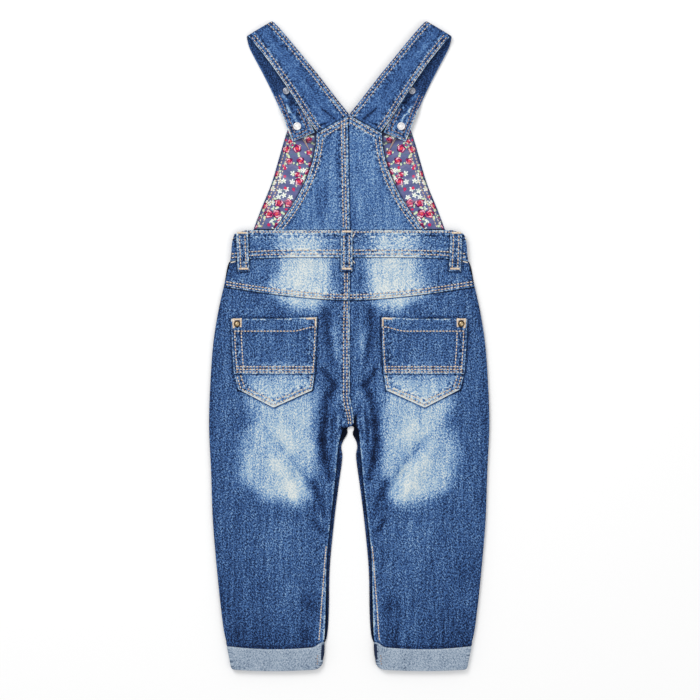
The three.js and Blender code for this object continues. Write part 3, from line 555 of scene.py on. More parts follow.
# A flower seed in each cell: where it lies from the nearest one, as a radius and an angle
def makeSeedGroup():
    tree, given, result = newGroup(
        "scatteredSprigs", [("Cloth", "Vector", None), ("Pitch", "Float", 0.014), ("Scatter", "Float", 0.7)],
        [("Radius", "Float"), ("Angle", "Float"), ("Chance", "Float"), ("Choice", "Float")])
    cells = addNode(tree, "TexVoronoi", {"Vector": given["Cloth"], "Scale": maths(tree, "DIVIDE", 1.0, given["Pitch"]),
                                         "Randomness": given["Scatter"]}, voronoi_dimensions="2D")
    away = addNode(tree, "VectorMath", operation="SUBTRACT")
    tree.links.new(given["Cloth"], away.inputs[0])
    tree.links.new(cells.outputs["Position"], away.inputs[1])
    parts = addNode(tree, "SeparateXYZ", {"Vector": away.outputs[0]})
    flat = addNode(tree, "CombineXYZ", {"X": parts.outputs["X"], "Y": parts.outputs["Y"]})
    length = addNode(tree, "VectorMath", operation="LENGTH")
    tree.links.new(flat.outputs[0], length.inputs[0])
    chances = addNode(tree, "SeparateColor", {"Color": cells.outputs["Color"]})
    turn = maths(tree, "MULTIPLY", chances.outputs["Blue"], 6.283)
    angle = maths(tree, "ADD", maths(tree, "ARCTAN2", parts.outputs["Y"], parts.outputs["X"]), turn)
    tree.links.new(length.outputs["Value"], result["Radius"])
    tree.links.new(angle, result["Angle"])
    tree.links.new(chances.outputs["Red"], result["Chance"])
    tree.links.new(chances.outputs["Green"], result["Choice"])
    return tree


printing = {
    "ground": (0.132, 0.146, 0.300, 1), "groundDark": (0.100, 0.110, 0.245, 1),
    "crimson": (0.55, 0.012, 0.130, 1), "orange": (0.72, 0.09, 0.07, 1), "blush": (0.88, 0.62, 0.68, 1),
    "outline": (0.060, 0.016, 0.055, 1), "leaf": (0.62, 0.74, 0.48, 1), "leafShade": (0.07, 0.17, 0.20, 1),
    "blossom": (0.88, 0.89, 0.84, 1), "rosePitch": 0.0110, "roseRadius": 0.0040, "blossomPitch": 0.0066,
    "blossomRadius": 0.0029, "budPitch": 0.0078, "budRadius": 0.0016,
}


def seeds(tree, group, cloth, pitch, scatter):
    node = tree.nodes.new("ShaderNodeGroup")
    node.node_tree = group
    tree.links.new(cloth, node.inputs["Cloth"])
    node.inputs["Pitch"].default_value = pitch
    node.inputs["Scatter"].default_value = scatter
    return node.outputs


def printMaterial(seedGroup):
    material, tree, shader = newMaterial("sprigged poplin", 0.88, specular=0.1)
    uv, paleness, shade, seam = clothInputs(tree)
    wobble = addNode(tree, "TexNoise", {"Vector": uv, "Scale": 700.0, "Detail": 1.0}, noise_dimensions="2D")
    shift = addNode(tree, "VectorMath", operation="MULTIPLY_ADD")
    tree.links.new(wobble.outputs["Color"], shift.inputs[0])
    shift.inputs[1].default_value = (0.0011, 0.0011, 0)
    tree.links.new(uv, shift.inputs[2])
    drawn = shift.outputs[0]

    mottled = lumps(tree, uv, (160, 160, 1), 3.0, 0.6)
    colour = blend(tree, ranged(tree, mottled, 0.3, 0.7), printing["ground"], printing["groundDark"])
    # stems are the level lines of a slow noise
    wander = lumps(tree, uv, (74, 74, 1), 0.0, 0.5)
    stem = maths(tree, "COMPARE", wander, 0.5, 0.012)
    colour = blend(tree, maths(tree, "MULTIPLY", stem, 0.9), colour, printing["leafShade"])

    # white blossoms, in drifts
    blossom = seeds(tree, seedGroup, drawn, printing["blossomPitch"], 0.75)
    lobes = maths(tree, "ABSOLUTE", maths(tree, "COSINE", maths(tree, "MULTIPLY", blossom["Angle"], 2.5)))
    reach = maths(tree, "MULTIPLY", maths(tree, "MULTIPLY_ADD", lobes, 0.80, 0.20), printing["blossomRadius"])
    inside = maths(tree, "LESS_THAN", blossom["Radius"], reach)
    drift = lumps(tree, uv, (46, 46, 1), 0.0, 0.5)
    here = maths(tree, "MULTIPLY", maths(tree, "GREATER_THAN", blossom["Chance"], 0.22),
                 maths(tree, "GREATER_THAN", drift, 0.47))
    shadow = maths(tree, "MULTIPLY", maths(tree, "LESS_THAN", blossom["Radius"], printing["blossomRadius"] * 0.95), here)
    colour = blend(tree, maths(tree, "MULTIPLY", shadow, 0.55), colour, printing["leafShade"])
    colour = blend(tree, maths(tree, "MULTIPLY", inside, here), colour, printing["blossom"])
    eye = maths(tree, "MULTIPLY", maths(tree, "LESS_THAN", blossom["Radius"], printing["blossomRadius"] * 0.24), here)
    colour = blend(tree, eye, colour, printing["leaf"])

    # roses, each with up to three leaves
    rose = seeds(tree, seedGroup, drawn, printing["rosePitch"], 0.62)
    size = maths(tree, "MULTIPLY_ADD", rose["Choice"], 0.55, 0.62)
    there = maths(tree, "GREATER_THAN", rose["Chance"], 0.26)
    bloom = maths(tree, "DIVIDE", rose["Radius"], maths(tree, "MULTIPLY", size, printing["roseRadius"]))
    ruffle = maths(tree, "MULTIPLY_ADD", maths(tree, "SINE", maths(tree, "MULTIPLY", rose["Angle"], 5.0)), 0.11, 1.0)
    bloom = maths(tree, "DIVIDE", bloom, ruffle)
    third = maths(tree, "FRACT", maths(tree, "DIVIDE", maths(tree, "ADD", rose["Angle"], 20.0), 2.094))
    aside = maths(tree, "MULTIPLY", maths(tree, "SUBTRACT", third, 0.5), maths(tree, "MULTIPLY", bloom, 2.094))
    out = maths(tree, "DIVIDE", maths(tree, "SUBTRACT", bloom, 0.85), 0.95)
    leafWide = maths(tree, "MULTIPLY", maths(tree, "SINE", maths(tree, "MULTIPLY", maths(
        tree, "MINIMUM", maths(tree, "MAXIMUM", out, 0.0), 1.0), 3.1416)), 0.42)
    leaf = maths(tree, "MULTIPLY", maths(tree, "LESS_THAN", maths(tree, "ABSOLUTE", aside), leafWide), there)
    vein = maths(tree, "GREATER_THAN", aside, maths(tree, "MULTIPLY", leafWide, 0.5))
    colour = blend(tree, leaf, colour, blend(tree, vein, printing["leaf"], printing["leafShade"]))
    petal = maths(tree, "SINE", maths(tree, "ADD", maths(tree, "MULTIPLY", rose["Angle"], 2.0),
                                      maths(tree, "MULTIPLY", bloom, 8.0)))
    heart = ranged(tree, bloom, 0.16, 0.40)
    head = blend(tree, heart, printing["orange"], printing["crimson"])
    light = maths(tree, "MULTIPLY", ranged(tree, petal, 0.35, 0.75), maths(tree, "COMPARE", bloom, 0.66, 0.15))
    head = blend(tree, light, head, printing["blush"])
    fold = maths(tree, "MULTIPLY", maths(tree, "LESS_THAN", petal, -0.62), ranged(tree, bloom, 0.25, 0.45))
    head = blend(tree, fold, head, printing["outline"])
    head = blend(tree, ranged(tree, bloom, 0.84, 0.92), head, printing["outline"])
    colour = blend(tree, maths(tree, "MULTIPLY", maths(tree, "LESS_THAN", bloom, 1.0), there), colour, head)

    # small red buds between them
    bud = seeds(tree, seedGroup, drawn, printing["budPitch"], 0.9)
    budThere = maths(tree, "MULTIPLY", maths(tree, "GREATER_THAN", bud["Chance"], 0.62),
                     maths(tree, "GREATER_THAN", bloom, 1.35))
    ring = maths(tree, "DIVIDE", bud["Radius"], printing["budRadius"])
    budColour = blend(tree, ranged(tree, ring, 0.3, 0.5), printing["orange"], printing["crimson"])
    colour = blend(tree, maths(tree, "MULTIPLY", maths(tree, "LESS_THAN", ring, 1.0), budThere), colour, budColour)

    # painted shade beside the laps and in the crease lines, and painted highlight on the crests of its creases
    colour = blend(tree, shade, colour, (0.012, 0.014, 0.035, 1))
    colour = blend(tree, maths(tree, "MULTIPLY", paleness, 0.5), colour, (0.42, 0.42, 0.55, 1))
    tree.links.new(colour, shader.inputs["Base Color"])
    plain = addNode(tree, "TexNoise", {"Vector": uv, "Scale": 1400.0, "Detail": 1.0}, noise_dimensions="2D")
    relief(tree, shader, plain.outputs["Fac"], 0.00005)
    return material


def threadMaterial(name, pale, dark):
    material, tree, shader = newMaterial(name, 0.62, sheen=0.1, specular=0.35)
    toneAndShade = addNode(tree, "Attribute", attribute_name="toneAndShade")
    parts = addNode(tree, "SeparateColor", {"Color": toneAndShade.outputs["Color"]})
    uv = addNode(tree, "UVMap", uv_map="cloth").outputs["UV"]
    twist = addNode(tree, "TexWave", {"Vector": uv, "Scale": 1.0, "Distortion": 0.5})
    colour = blend(tree, parts.outputs["Red"], dark, pale)
    ply = addNode(tree, "Mix", {"Factor": 0.22}, data_type="RGBA", blend_type="MULTIPLY")
    tree.links.new(colour, ply.inputs[6])
    tree.links.new(twist.outputs["Color"], ply.inputs[7])
    tree.links.new(ply.outputs[2], shader.inputs["Base Color"])
    relief(tree, shader, twist.outputs["Fac"], 0.00006)
    return material


def metalMaterial(name, bright, dull, roughness, scale, metallic=1.0):
    material, tree, shader = newMaterial(name, roughness, metallic=metallic, specular=0.5)
    place = addNode(tree, "TexCoord").outputs["Object"]
    tarnish = addNode(tree, "TexNoise", {"Vector": place, "Scale": scale, "Detail": 4.0})
    colour = blend(tree, ranged(tree, tarnish.outputs["Fac"], 0.38, 0.66), bright, dull)
    tree.links.new(colour, shader.inputs["Base Color"])
    rough = ranged(tree, tarnish.outputs["Fac"], 0.3, 0.7, roughness - 0.08, roughness + 0.14)
    tree.links.new(rough, shader.inputs["Roughness"])
    relief(tree, shader, tarnish.outputs["Fac"], 0.00003)
    return material


yarnGroup = makeYarnGroup()
washAndShadeGroup = makeWashAndShadeGroup(yarnGroup)
seedGroup = makeSeedGroup()
finish = {
    "leg": denimMaterial("washed denim leg", washAndShadeGroup, 0.302, 1.0),
    "bib": denimMaterial("washed denim bib", washAndShadeGroup, 0.40, 0.84),
    "strap": denimMaterial("washed denim strap", washAndShadeGroup, 0.335, 0.62),
    "band": denimMaterial("washed denim band", washAndShadeGroup, 0.37, 1.0),
    "loop": denimMaterial("washed denim loop", washAndShadeGroup, 0.46, 1.2),
    # the front finish is a darker copy of the denim for the layers underneath, as painted shade
    "front": denimMaterial("washed denim front", washAndShadeGroup, 0.235, 0.8),
    "reverse": reverseMaterial(yarnGroup),
    "print": printMaterial(seedGroup),
    "thread": threadMaterial("tan thread", (0.94, 0.81, 0.65, 1), (0.58, 0.38, 0.22, 1)),
    "dimThread": threadMaterial("tan thread in the shade", (0.56, 0.41, 0.34, 1), (0.30, 0.21, 0.19, 1)),
    "paleThread": threadMaterial("cream thread", (0.90, 0.86, 0.78, 1), (0.80, 0.74, 0.64, 1)),
    "snap": metalMaterial("satin nickel", (0.84, 0.83, 0.83, 1), (0.66, 0.65, 0.66, 1), 0.5, 500.0, 0.5),
    "snapDull": metalMaterial("worn nickel", (0.44, 0.46, 0.52, 1), (0.30, 0.32, 0.38, 1), 0.46, 500.0),
    "brass": metalMaterial("antiqued brass", (0.60, 0.47, 0.28, 1), (0.33, 0.235, 0.135, 1), 0.38, 700.0),
    "rim": metalMaterial("darkened brass", (0.10, 0.065, 0.03, 1), (0.05, 0.03, 0.015, 1), 0.5, 700.0),
}
print("materials made:", len(finish))


# Cloth walls
def spread(length, step, near=(0.35, 0.9)):
    # shares of a length at about one step, with two more close to each end for the rounding of the edge
    inside = np.linspace(near[1], length - near[1], max(2, int(round((length - 2 * near[1]) / step)) + 1))
    return np.concatenate([[0, near[0]], inside, [length - near[0], length]]) / length


def toMetres(x, y, z):
    return np.stack([x, y + drawingShift, z], axis=-1).astype(float) * 0.001


def meshFrom(name, points, faces, uv, toneAndShade, material):
    mesh = bpy.data.meshes.new(name)
    mesh.from_pydata([tuple(p) for p in points], [], faces)
    layer = mesh.uv_layers.new(name="cloth")
    loopVertices = np.empty(len(mesh.loops), int)
    mesh.loops.foreach_get("vertex_index", loopVertices)
    layer.data.foreach_set("uv", uv[loopVertices].astype(np.float32).ravel())
    attribute = mesh.color_attributes.new(name="toneAndShade", type="FLOAT_COLOR", domain="POINT")
    attribute.data.foreach_set("color", toneAndShade.astype(np.float32).ravel())
    mesh.polygons.foreach_set("use_smooth", [True] * len(mesh.polygons))
    mesh.materials.append(material)
    piece = bpy.data.objects.new(name, mesh)
    bpy.context.scene.collection.objects.link(piece)
    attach(piece, "root")
    return piece


# packs fading with painted highlights, painted shade and the seam distance into the colour attribute
def toneAndShadeOf(paleness, shade, seam):
    shape = np.broadcast(paleness, shade, seam).shape
    parts = [np.broadcast_to(np.clip(v, 0, 1), shape) for v in (paleness, shade, np.asarray(seam) / 16)]
    return np.stack([*parts, np.ones(shape)], axis=-1)


def wall(name, low, high, uv, toneAndShade, material, lowToneAndShade=None):
    # a closed cloth wall between two grids of points, each rows x columns x 3
    rows, columns = high.shape[:2]
    count = rows * columns
    points = np.concatenate([high.reshape(-1, 3), low.reshape(-1, 3)])
    index = np.arange(count).reshape(rows, columns)
    a, b, c, d = index[:-1, :-1], index[:-1, 1:], index[1:, 1:], index[1:, :-1]
    top = np.stack([a, b, c, d], axis=-1).reshape(-1, 4)
    ends = []
    rim = np.concatenate([index[0, :], index[1:, -1], index[-1, -2::-1], index[-2:0:-1, 0]])
    after = np.roll(rim, -1)
    ends = np.stack([after, rim, rim + count, after + count], axis=-1)
    quads = np.concatenate([top, top[:, ::-1] + count, ends])
    middle = (high[rows // 2, columns // 2], high[rows // 2 + 1, columns // 2], high[rows // 2, columns // 2 + 1])
    normal = np.cross(middle[2] - middle[0], middle[1] - middle[0])
    up = (high - low)[rows // 2, columns // 2]
    if np.dot(normal, up) < 0:
        quads = quads[:, ::-1]
    allUv = np.concatenate([uv.reshape(-1, 2), uv.reshape(-1, 2) + 0.37])
    under = toneAndShade if lowToneAndShade is None else lowToneAndShade
    allToneAndShade = np.concatenate([toneAndShade.reshape(-1, 4), under.reshape(-1, 4)])
    return meshFrom(name, points, quads.tolist(), allUv, allToneAndShade, material)


def clothUv(x, y, seed):
    return np.stack([x * 0.001 + seed * 0.713, y * 0.001 + seed * 0.391], axis=-1)


# Back legs
leg = {"step": 1.15, "rowStep": 1.3, "bendFrom": 10.0}


def legPlan(side):
    ys = np.concatenate([garment["legEnd"] + (garment["yokeCentre"] - garment["legEnd"]) * spread(
        garment["yokeCentre"] - garment["legEnd"], leg["rowStep"])])
    ys = np.sort(np.concatenate([ys, [-80.01, -80.4, -81.2, -82.4]]))
    shares = spread(115.0, leg["step"])
    y = np.repeat(ys[:, None], len(shares), axis=1)
    bend = smooth(y, leg["bendFrom"], garment["yokeCentre"])
    outer = sideX(mix(y, yokeSide, bend)) + 2.3 * np.exp(-((y + 299.3) / 3.2) ** 2) * (y > -302.6)
    inner = innerX(backInseamX, y)
    across = mix(inner, outer, shares[None, :])
    x = side * across + seatDrift(across, y) + besideMiddle(across, y)
    bent = mix(y, yokeSeam(across) - halfGap, bend)
    return x, bent, across, inner, outer


def seamReach(distance, first, second):
    # a distance from an edge, stretched so that its two rows of stitches come at 2.6 and 6.2
    between = 2.6 + (distance - first) / (second - first) * 3.6
    return np.where(distance < first, distance / first * 2.6, np.where(distance < second, between, 6.2 + distance - second))


def seatRows(y):
    closing = smooth(-y, 40, 76)
    gathered = smooth(-y, 56, 80)
    return (2.7 + 0.3 * smooth(-y, -44, -10) + 1.5 * closing - 1.5 * gathered,
            5.6 + 0.7 * smooth(-y, -44, -10) + 1.2 * closing - 2.3 * gathered)


def seatSeam(x, y, side):
    # distance from the lapped edge of the left half, which carries the stitches
    if side > 0:
        return np.full_like(x, 16.0)
    reach = np.maximum(seatDrift(x, y) + middleSeam(y) - halfGap - x, 0)
    return np.where(y > -79, seamReach(reach, *seatRows(y)), 16.0)


def legHigh(x, y, side):
    seam = seatSeam(x, y, side)
    welt = garment["welt"] * (1 - smooth(seam, 6.4, 7.6)) if side < 0 else 0
    return backUnder(x, y) + garment["denim"] + welt + surface(x, y, seam)


def inseamRow(y):
    # the inseam's stitches leave the edge towards the hem
    return 1.5 + 3.6 * smooth(-y, 200, 290)


def makeLeg(word, side):
    x, y, across, inner, outer = legPlan(side)
    seam = seatSeam(x, y, side)
    high = legHigh(x, y, side)
    low = backUnder(x, y)
    rim = np.minimum(across - inner, outer - across)
    high = np.maximum(high - 0.4 * (1 - smooth(rim, 0, 0.9)), low + 0.5)
    paleness, shade = fadeAndShadeOf(x, y)
    # painted shade under the yoke's lapped edge and beside the seat seam's lap on the right half
    shadeUnderYoke = 0.9 * (1 - smooth(yokeSeam(x) - y, 0.3, 1.7))
    shadeBesideSeat = 0.30 * (1 - smooth(across, 0.4, 1.4)) * (y > -79) if side > 0 else 0
    low = backUnder(x, y)
    fromInner = across - inner
    # the inseam: pale edge and felled strip, partly wear and partly painted highlight, and painted shade in the seam's
    # groove
    worn = 0.40 * np.exp(-((fromInner - 0.7) / 0.8) ** 2) * (0.7 + 0.6 * softNoise(x, y, 4, 21))
    felled = (1 - smooth(fromInner, inseamRow(y) + 0.4, inseamRow(y) + 2.0)) * smooth(-y, 196, 225)
    worn = worn + 0.26 * felled * (0.75 + 0.7 * softNoise(x * 1.4, y, 3.4, 22))
    groove = 0.5 * np.exp(-((fromInner - inseamRow(y) * 0.62) / 0.5) ** 2) * smooth(-y, 205, 240) * (softNoise(x, y, 2.6, 24) > -0.2)
    inseamWornAndLit = worn * smooth(-y, 88, 100)
    ax = across
    # painted shadow that the pocket casts along its four edges
    beside = np.where((y < 29) & (y > -46), 0.95 * np.exp(-((ax - pocketSide(y, "inner") + 0.9) / 1.0) ** 2), 0)
    besideOut = np.where((y < 27) & (y > -46), 0.70 * np.exp(-((ax - pocketSide(y, "outer") - 0.9) / 0.9) ** 2), 0)
    above = np.where((ax > 31) & (ax < 118), 0.6 * np.exp(-((y - pocketTop(ax) - 1.0) / 1.0) ** 2), 0)
    below = np.where((ax > 36) & (ax < 112), 1.1 * np.exp(-((pocketLow(ax) - y - 0.8) / 1.0) ** 2), 0)
    # painted shade along the top of the turn-up, most towards the inner side
    hem = 0.50 * np.exp(-((y + 301.0) / 1.5) ** 2) + 0.5 * (1 - smooth(np.abs(x) - inner, 0, 12)) * smooth(-y, 293, 299)
    # at the crotch: painted black shadow in the slit and beside the gap, and a pale lapped edge, partly wear and partly
    # painted highlight
    if side > 0:
        reach = np.clip((-68.5 - y) / 12, 0, 1)
        slit = np.hypot(x - 6.6 + 0.8 * reach, np.maximum(np.abs(y + 75.5) - 6.5, 0)) / mix(1.0, 1.9, reach)
        rubbedAndLit = 0.40 * np.exp(-((x - 8.9 - 0.8 * reach) / 0.8) ** 2 - ((y + 72.5) / 6) ** 2)
    else:
        slit = np.hypot((x + 6.4) / 2.6, (y + 82.6) / 1.8)
        rubbedAndLit = np.exp(-((x - middleSeam(y) - seatDrift(x, y) + 0.55) / 0.5) ** 2) * smooth(y, -79, -76)
        rubbedAndLit = rubbedAndLit * (0.34 + 0.24 * softNoise(x, y, 1.7, 23))
    crotch = 1.8 * np.exp(-slit ** 2)
    crotch = crotch + 1.3 * np.exp(-(fromInner / 1.1) ** 2) * smooth(-y, 78.6, 80) * (1 - smooth(-y, 86, 90))
    total = groove + shade + shadeUnderYoke + shadeBesideSeat + beside + besideOut + above + below + hem + crotch
    seamForDye = np.where(y < -79, 16.0, seam)
    toneAndShade = toneAndShadeOf(paleness + np.maximum(inseamWornAndLit, 0) + rubbedAndLit, total, seamForDye)
    # the underside is painted in even shade
    lowToneAndShade = toneAndShadeOf(paleness * 0, np.full_like(x, 0.5), 16.0)
    piece = wall(f"backLeg_{word}", toMetres(x, y, low), toMetres(x, y, high), clothUv(x, y, 1 + side), toneAndShade,
                 finish["leg"], lowToneAndShade)
    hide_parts(f"back_leg_{word}")


def pocketSide(y, edge):
    ys = [row["y"] for row in pocketOutline]
    return np.interp(y, ys, [row[edge] for row in pocketOutline])


def pocketTop(x):
    return 26.6 + 1.6 * smooth(-x, -70, -32)


def pocketLow(x):
    (innerX, innerY), (tipX, tipY), (outerX, outerY) = pocket["foot"]
    return np.interp(x, [innerX, tipX - 0.3, tipX + 0.3, outerX], [innerY, tipY, tipY, outerY])


# Front legs: they lie underneath, and their inner edges show between the legs
def makeFrontLeg(word, side):
    ys = np.sort(np.concatenate([np.linspace(garment["legEnd"], bandSide, 150), [-80.01, -80.4, -81.2, -82.4]]))
    shares = np.unique(np.concatenate([np.linspace(0, 0.12, 14), spread(118.0, 5.0)]))
    y = np.repeat(ys[:, None], len(shares), axis=1)
    bend = smooth(y, 60, bandSide)
    inner, outer = innerX(frontInseamX, y), sideX(y)
    across = mix(inner, outer, shares[None, :])
    tuck = (3.3 if side > 0 else 2.4) * np.exp(-((y + 88.5) / 5.0) ** 2) - 1.1 * np.exp(-((y + 101.5) / 4.5) ** 2)
    tuck = tuck * np.exp(-((across - inner) / 4) ** 2)
    x = side * across + seatDrift(across, y) - side * np.minimum(tuck, np.maximum(across - 0.3, 0))
    y = mix(y, bandBottom(across) - garment["gap"], bend)
    low = frontUnder(x, y)
    rim = np.minimum(across - inner, outer - across)
    high = low + garment["denim"] - 0.4 * (1 - smooth(rim, 0, 0.9))
    # painted shade: the front layer is darkened all over, more where the back leg covers it, towards the crotch and
    # towards the hem
    behind = smooth(across, backInseamX(y) - 2.6, backInseamX(y) + 0.2)
    shade = 0.46 + 0.45 * behind + 0.7 * smooth(y, -100, -90) + 0.30 * smooth(-y, 228, 256)
    shade = shade + 0.12 * softNoise(x, y, 7, 31)
    toneAndShade = toneAndShadeOf(0.10 * np.exp(-((across - inner - 0.6) / 0.8) ** 2) * (y < -104), shade, 16.0)
    piece = wall(f"frontLeg_{word}", toMetres(x, y, low), toMetres(x, y, high), clothUv(x, y, 5 + side), toneAndShade,
                 finish["front"], toneAndShadeOf(np.zeros_like(x), 0.05, 16.0))
    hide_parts(f"front_leg_{word}")


# Yoke
yokeRows = {"first": 2.5, "second": 5.4, "middleFirst": 2.5, "middleSecond": 5.2}


def yokeReach(x, y, side):
    seam = seamReach(y - yokeSeam(x), yokeRows["first"], yokeRows["second"])
    if side > 0:
        return seam
    middle = seamReach(np.maximum(middleSeam(y) - x, 0), yokeRows["middleFirst"], yokeRows["middleSecond"])
    return np.minimum(seam, middle)


def yokeHigh(x, y, side):
    nearest = yokeReach(x, y, side)
    return backUnder(x, y) + garment["denim"] + garment["welt"] * (1 - smooth(nearest, 6.6, 8.0)) + surface(x, y, nearest)


def makeYoke(word, side):
    downShares, acrossShares = spread(38.0, 1.1), spread(122.0, 1.2)
    v = np.repeat(downShares[:, None], len(acrossShares), axis=1)
    outer = sideX(mix(yokeSide, bandSide, v))
    across = mix(halfGap, outer, acrossShares[None, :])
    y = mix(yokeSeam(across) + halfGap, bandBottom(across) - garment["gap"], v)
    x = side * across + besideMiddle(across, y)
    low = backUnder(x, y)
    high = yokeHigh(x, y, side)
    high = np.maximum(high - 0.4 * (1 - smooth(outer - across, 0, 0.9)), low + 0.5)
    paleness, shade = fadeAndShadeOf(x, y)
    # painted shade under the waistband's lap, round the feet of the belt loops and beside the centre seam's lap
    shadeUnderBand = 0.85 * (1 - smooth(bandBottom(x) - y, 0.3, 1.7))
    loops = 0.5 * np.exp(-(np.maximum(np.abs(x - side * 105.4) - 6.4, 0) / 1.2) ** 2
                         - (np.maximum(73.0 - y, 0) / 1.2) ** 2)
    middle = 0.5 * np.exp(-(np.maximum(np.abs(x + 2.6) - 6.4, 0) / 1.2) ** 2 - (np.maximum(73.0 - y, 0) / 1.2) ** 2)
    shadeBesideSeam = 0.6 * (1 - smooth(across, 0.4, 1.8)) if side > 0 else 0
    nearest = yokeReach(x, y, side)
    piece = wall(f"backYoke_{word}", toMetres(x, y, low), toMetres(x, y, high), clothUv(x, y, 9 + side),
                 toneAndShadeOf(paleness, shade + shadeUnderBand + loops + middle + shadeBesideSeam, nearest), finish["band"])
    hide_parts(f"back_yoke_{word}")


# Waistbands
def bandHigh(x, y):
    seam = np.minimum(y - bandBottom(x), bandTop(x) - y + 0.8)
    return backUnder(x, y) + garment["doubled"] + surface(x, y, seam) + 0.25 * softNoise(x, y, 14, 41)


def makeBand(name, node, isBack):
    downShares = spread(27.0, 1.0 if isBack else 4.0)
    acrossShares = spread(236.0, 1.1 if isBack else 5.0) * 2 - 1
    v = np.repeat(downShares[:, None], len(acrossShares), axis=1)
    x = acrossShares[None, :] * sideX(mix(bandSide, garment["waistTop"] - garment["bandDrop"], v))
    y = mix(bandBottom(x), bandTop(x), v)
    if isBack:
        low, high = backUnder(x, y), bandHigh(x, y)
    else:
        low = frontUnder(x, y)
        high = low + garment["doubled"]
    paleness, shade = fadeAndShadeOf(x, y)
    wave = 0.12 * softNoise(x, y * 0.3, 9, 43)
    top = 0.22 * (1 - smooth(bandTop(x) - y, 0.4, 1.4))
    # painted shade towards the side ends and beside the belt loops
    side = 0.25 * (1 - smooth(sideX(y) - np.abs(x), 0, 9))
    loopShade = 0
    for centre, lean in ((-105.4, -1.4), (-2.6, 0.0), (105.4, 1.4)):
        middle = centre + lean * (y - 74) / 41
        loopShade = loopShade + 0.5 * np.exp(-(np.maximum(np.abs(x - middle) - 6.2, 0) / 1.3) ** 2)
    seam = np.minimum(y - bandBottom(x), bandTop(x) - y + 0.8)
    # the hidden front band is painted in even shade
    toneAndShade = toneAndShadeOf(paleness + wave + top, shade + side + loopShade - 0.05, seam) if isBack else toneAndShadeOf(paleness * 0, 0.3, 16.0)
    piece = wall(name, toMetres(x, y, low), toMetres(x, y, high), clothUv(y, x, 13), toneAndShade,
                 finish["band" if isBack else "front"])
    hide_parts(node)


# Back bib
def bibSeam(x, y, side):
    across = np.abs(x)
    fromSide = (armholeX(y) - across) * 0.95
    slope = (bibShape["neckPoint"] - bibShape["cornerY"]) / bibShape["cornerX"]
    fromTop = (bibShape["neckPoint"] - slope * across - y) / math.hypot(1, slope)
    fromCentre = seamReach(np.maximum(middleSeam(y) - x, 0), 3.5, 6.5) if side < 0 else np.full_like(x, 16.0)
    return fromSide, fromTop, fromCentre


def bibHigh(x, y, side):
    fromSide, fromTop, fromCentre = bibSeam(x, y, side)
    seam = np.minimum(np.minimum(fromSide, fromTop), fromCentre)
    welt = garment["welt"] * (1 - smooth(seam, 6.4, 7.6))
    return backUnder(x, y) + garment["denim"] + welt + surface(x, y, seam)


def makeBib(word, side):
    downShares, acrossShares = spread(108.0, 1.2), spread(55.0, 1.0)
    v = np.repeat(downShares[:, None], len(acrossShares), axis=1)
    u = np.repeat(acrossShares[None, :], len(downShares), axis=0)
    y = mix(garment["waistTop"] + garment["gap"], bibTop(u), v)
    across = mix(halfGap, armholeX(y), u)
    x = side * across + besideMiddle(across, y)
    low, high = backUnder(x, y), bibHigh(x, y, side)
    fromSide, fromTop, fromCentre = bibSeam(x, y, side)
    seam = np.minimum(np.minimum(fromSide, fromTop), fromCentre)
    lean = x + 0.03 * side * (y - 170)
    streak = (0.055 * softNoise(lean, y * 0.05, 3.4, 51) + 0.045 * softNoise(lean, y * 0.08, 1.7, 53)
              + 0.04 * softNoise(x, y * 0.5, 12, 55)) * (1.25 if side < 0 else 0.75)
    paleFoot = 0.16 * np.exp(-((y - 116.5) / 1.6) ** 2)
    # painted shade in the hollow beyond the stitched welt and beside the centre seam's lap; darker along the bib's foot
    hollow = 0.16 * np.exp(-((seam - 9.5) / 2.4) ** 2)
    shadeBesideSeam = 0.85 * (1 - smooth(across, 0.4, 2.0)) if side > 0 else 0
    foot = 0.4 * (1 - smooth(y - garment["waistTop"], 0.4, 1.6))
    toneAndShade = toneAndShadeOf(np.maximum(0.06 + streak + paleFoot, 0), np.maximum(hollow - 1.5 * streak, 0) + shadeBesideSeam + foot, seam)
    piece = wall(f"backBib_{word}", toMetres(x, y, low), toMetres(x, y, high), clothUv(x, y, 17 + side), toneAndShade,
                 finish["bib"])
    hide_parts(f"back_bib_{word}")


# Front bib and its printed lining
liningCreases = table(("x1", "y1", "x2", "y2", "width", "height"),
                      (78, 190, 52, 178, 1.6, 0.7), (80, 176, 50, 160, 1.8, 0.8), (84, 166, 60, 150, 1.5, 0.7),
                      (80, 150, 54, 140, 2.0, 0.7), (90, 142, 66, 130, 1.6, 0.6), (70, 196, 44, 190, 1.6, 0.5),
                      (74, 186, 48, 172, 1.0, 0.5), (82, 158, 64, 145, 1.0, 0.5), (92, 130, 76, 122, 1.6, 0.5))


liningLines = table(("x1", "y1", "x2", "y2", "width", "height"),
                    (72, 187, 50, 179, 0.8, 0.8), (78, 181, 58, 172, 0.8, 0.7), (74, 166, 52, 156, 0.9, 0.8),
                    (82, 160, 62, 153, 0.8, 0.7), (84, 148, 60, 138, 0.9, 0.8), (88, 136, 72, 129, 0.8, 0.6),
                    (66, 198, 52, 193, 0.8, 0.6), (94, 126, 80, 119, 0.9, 0.7))


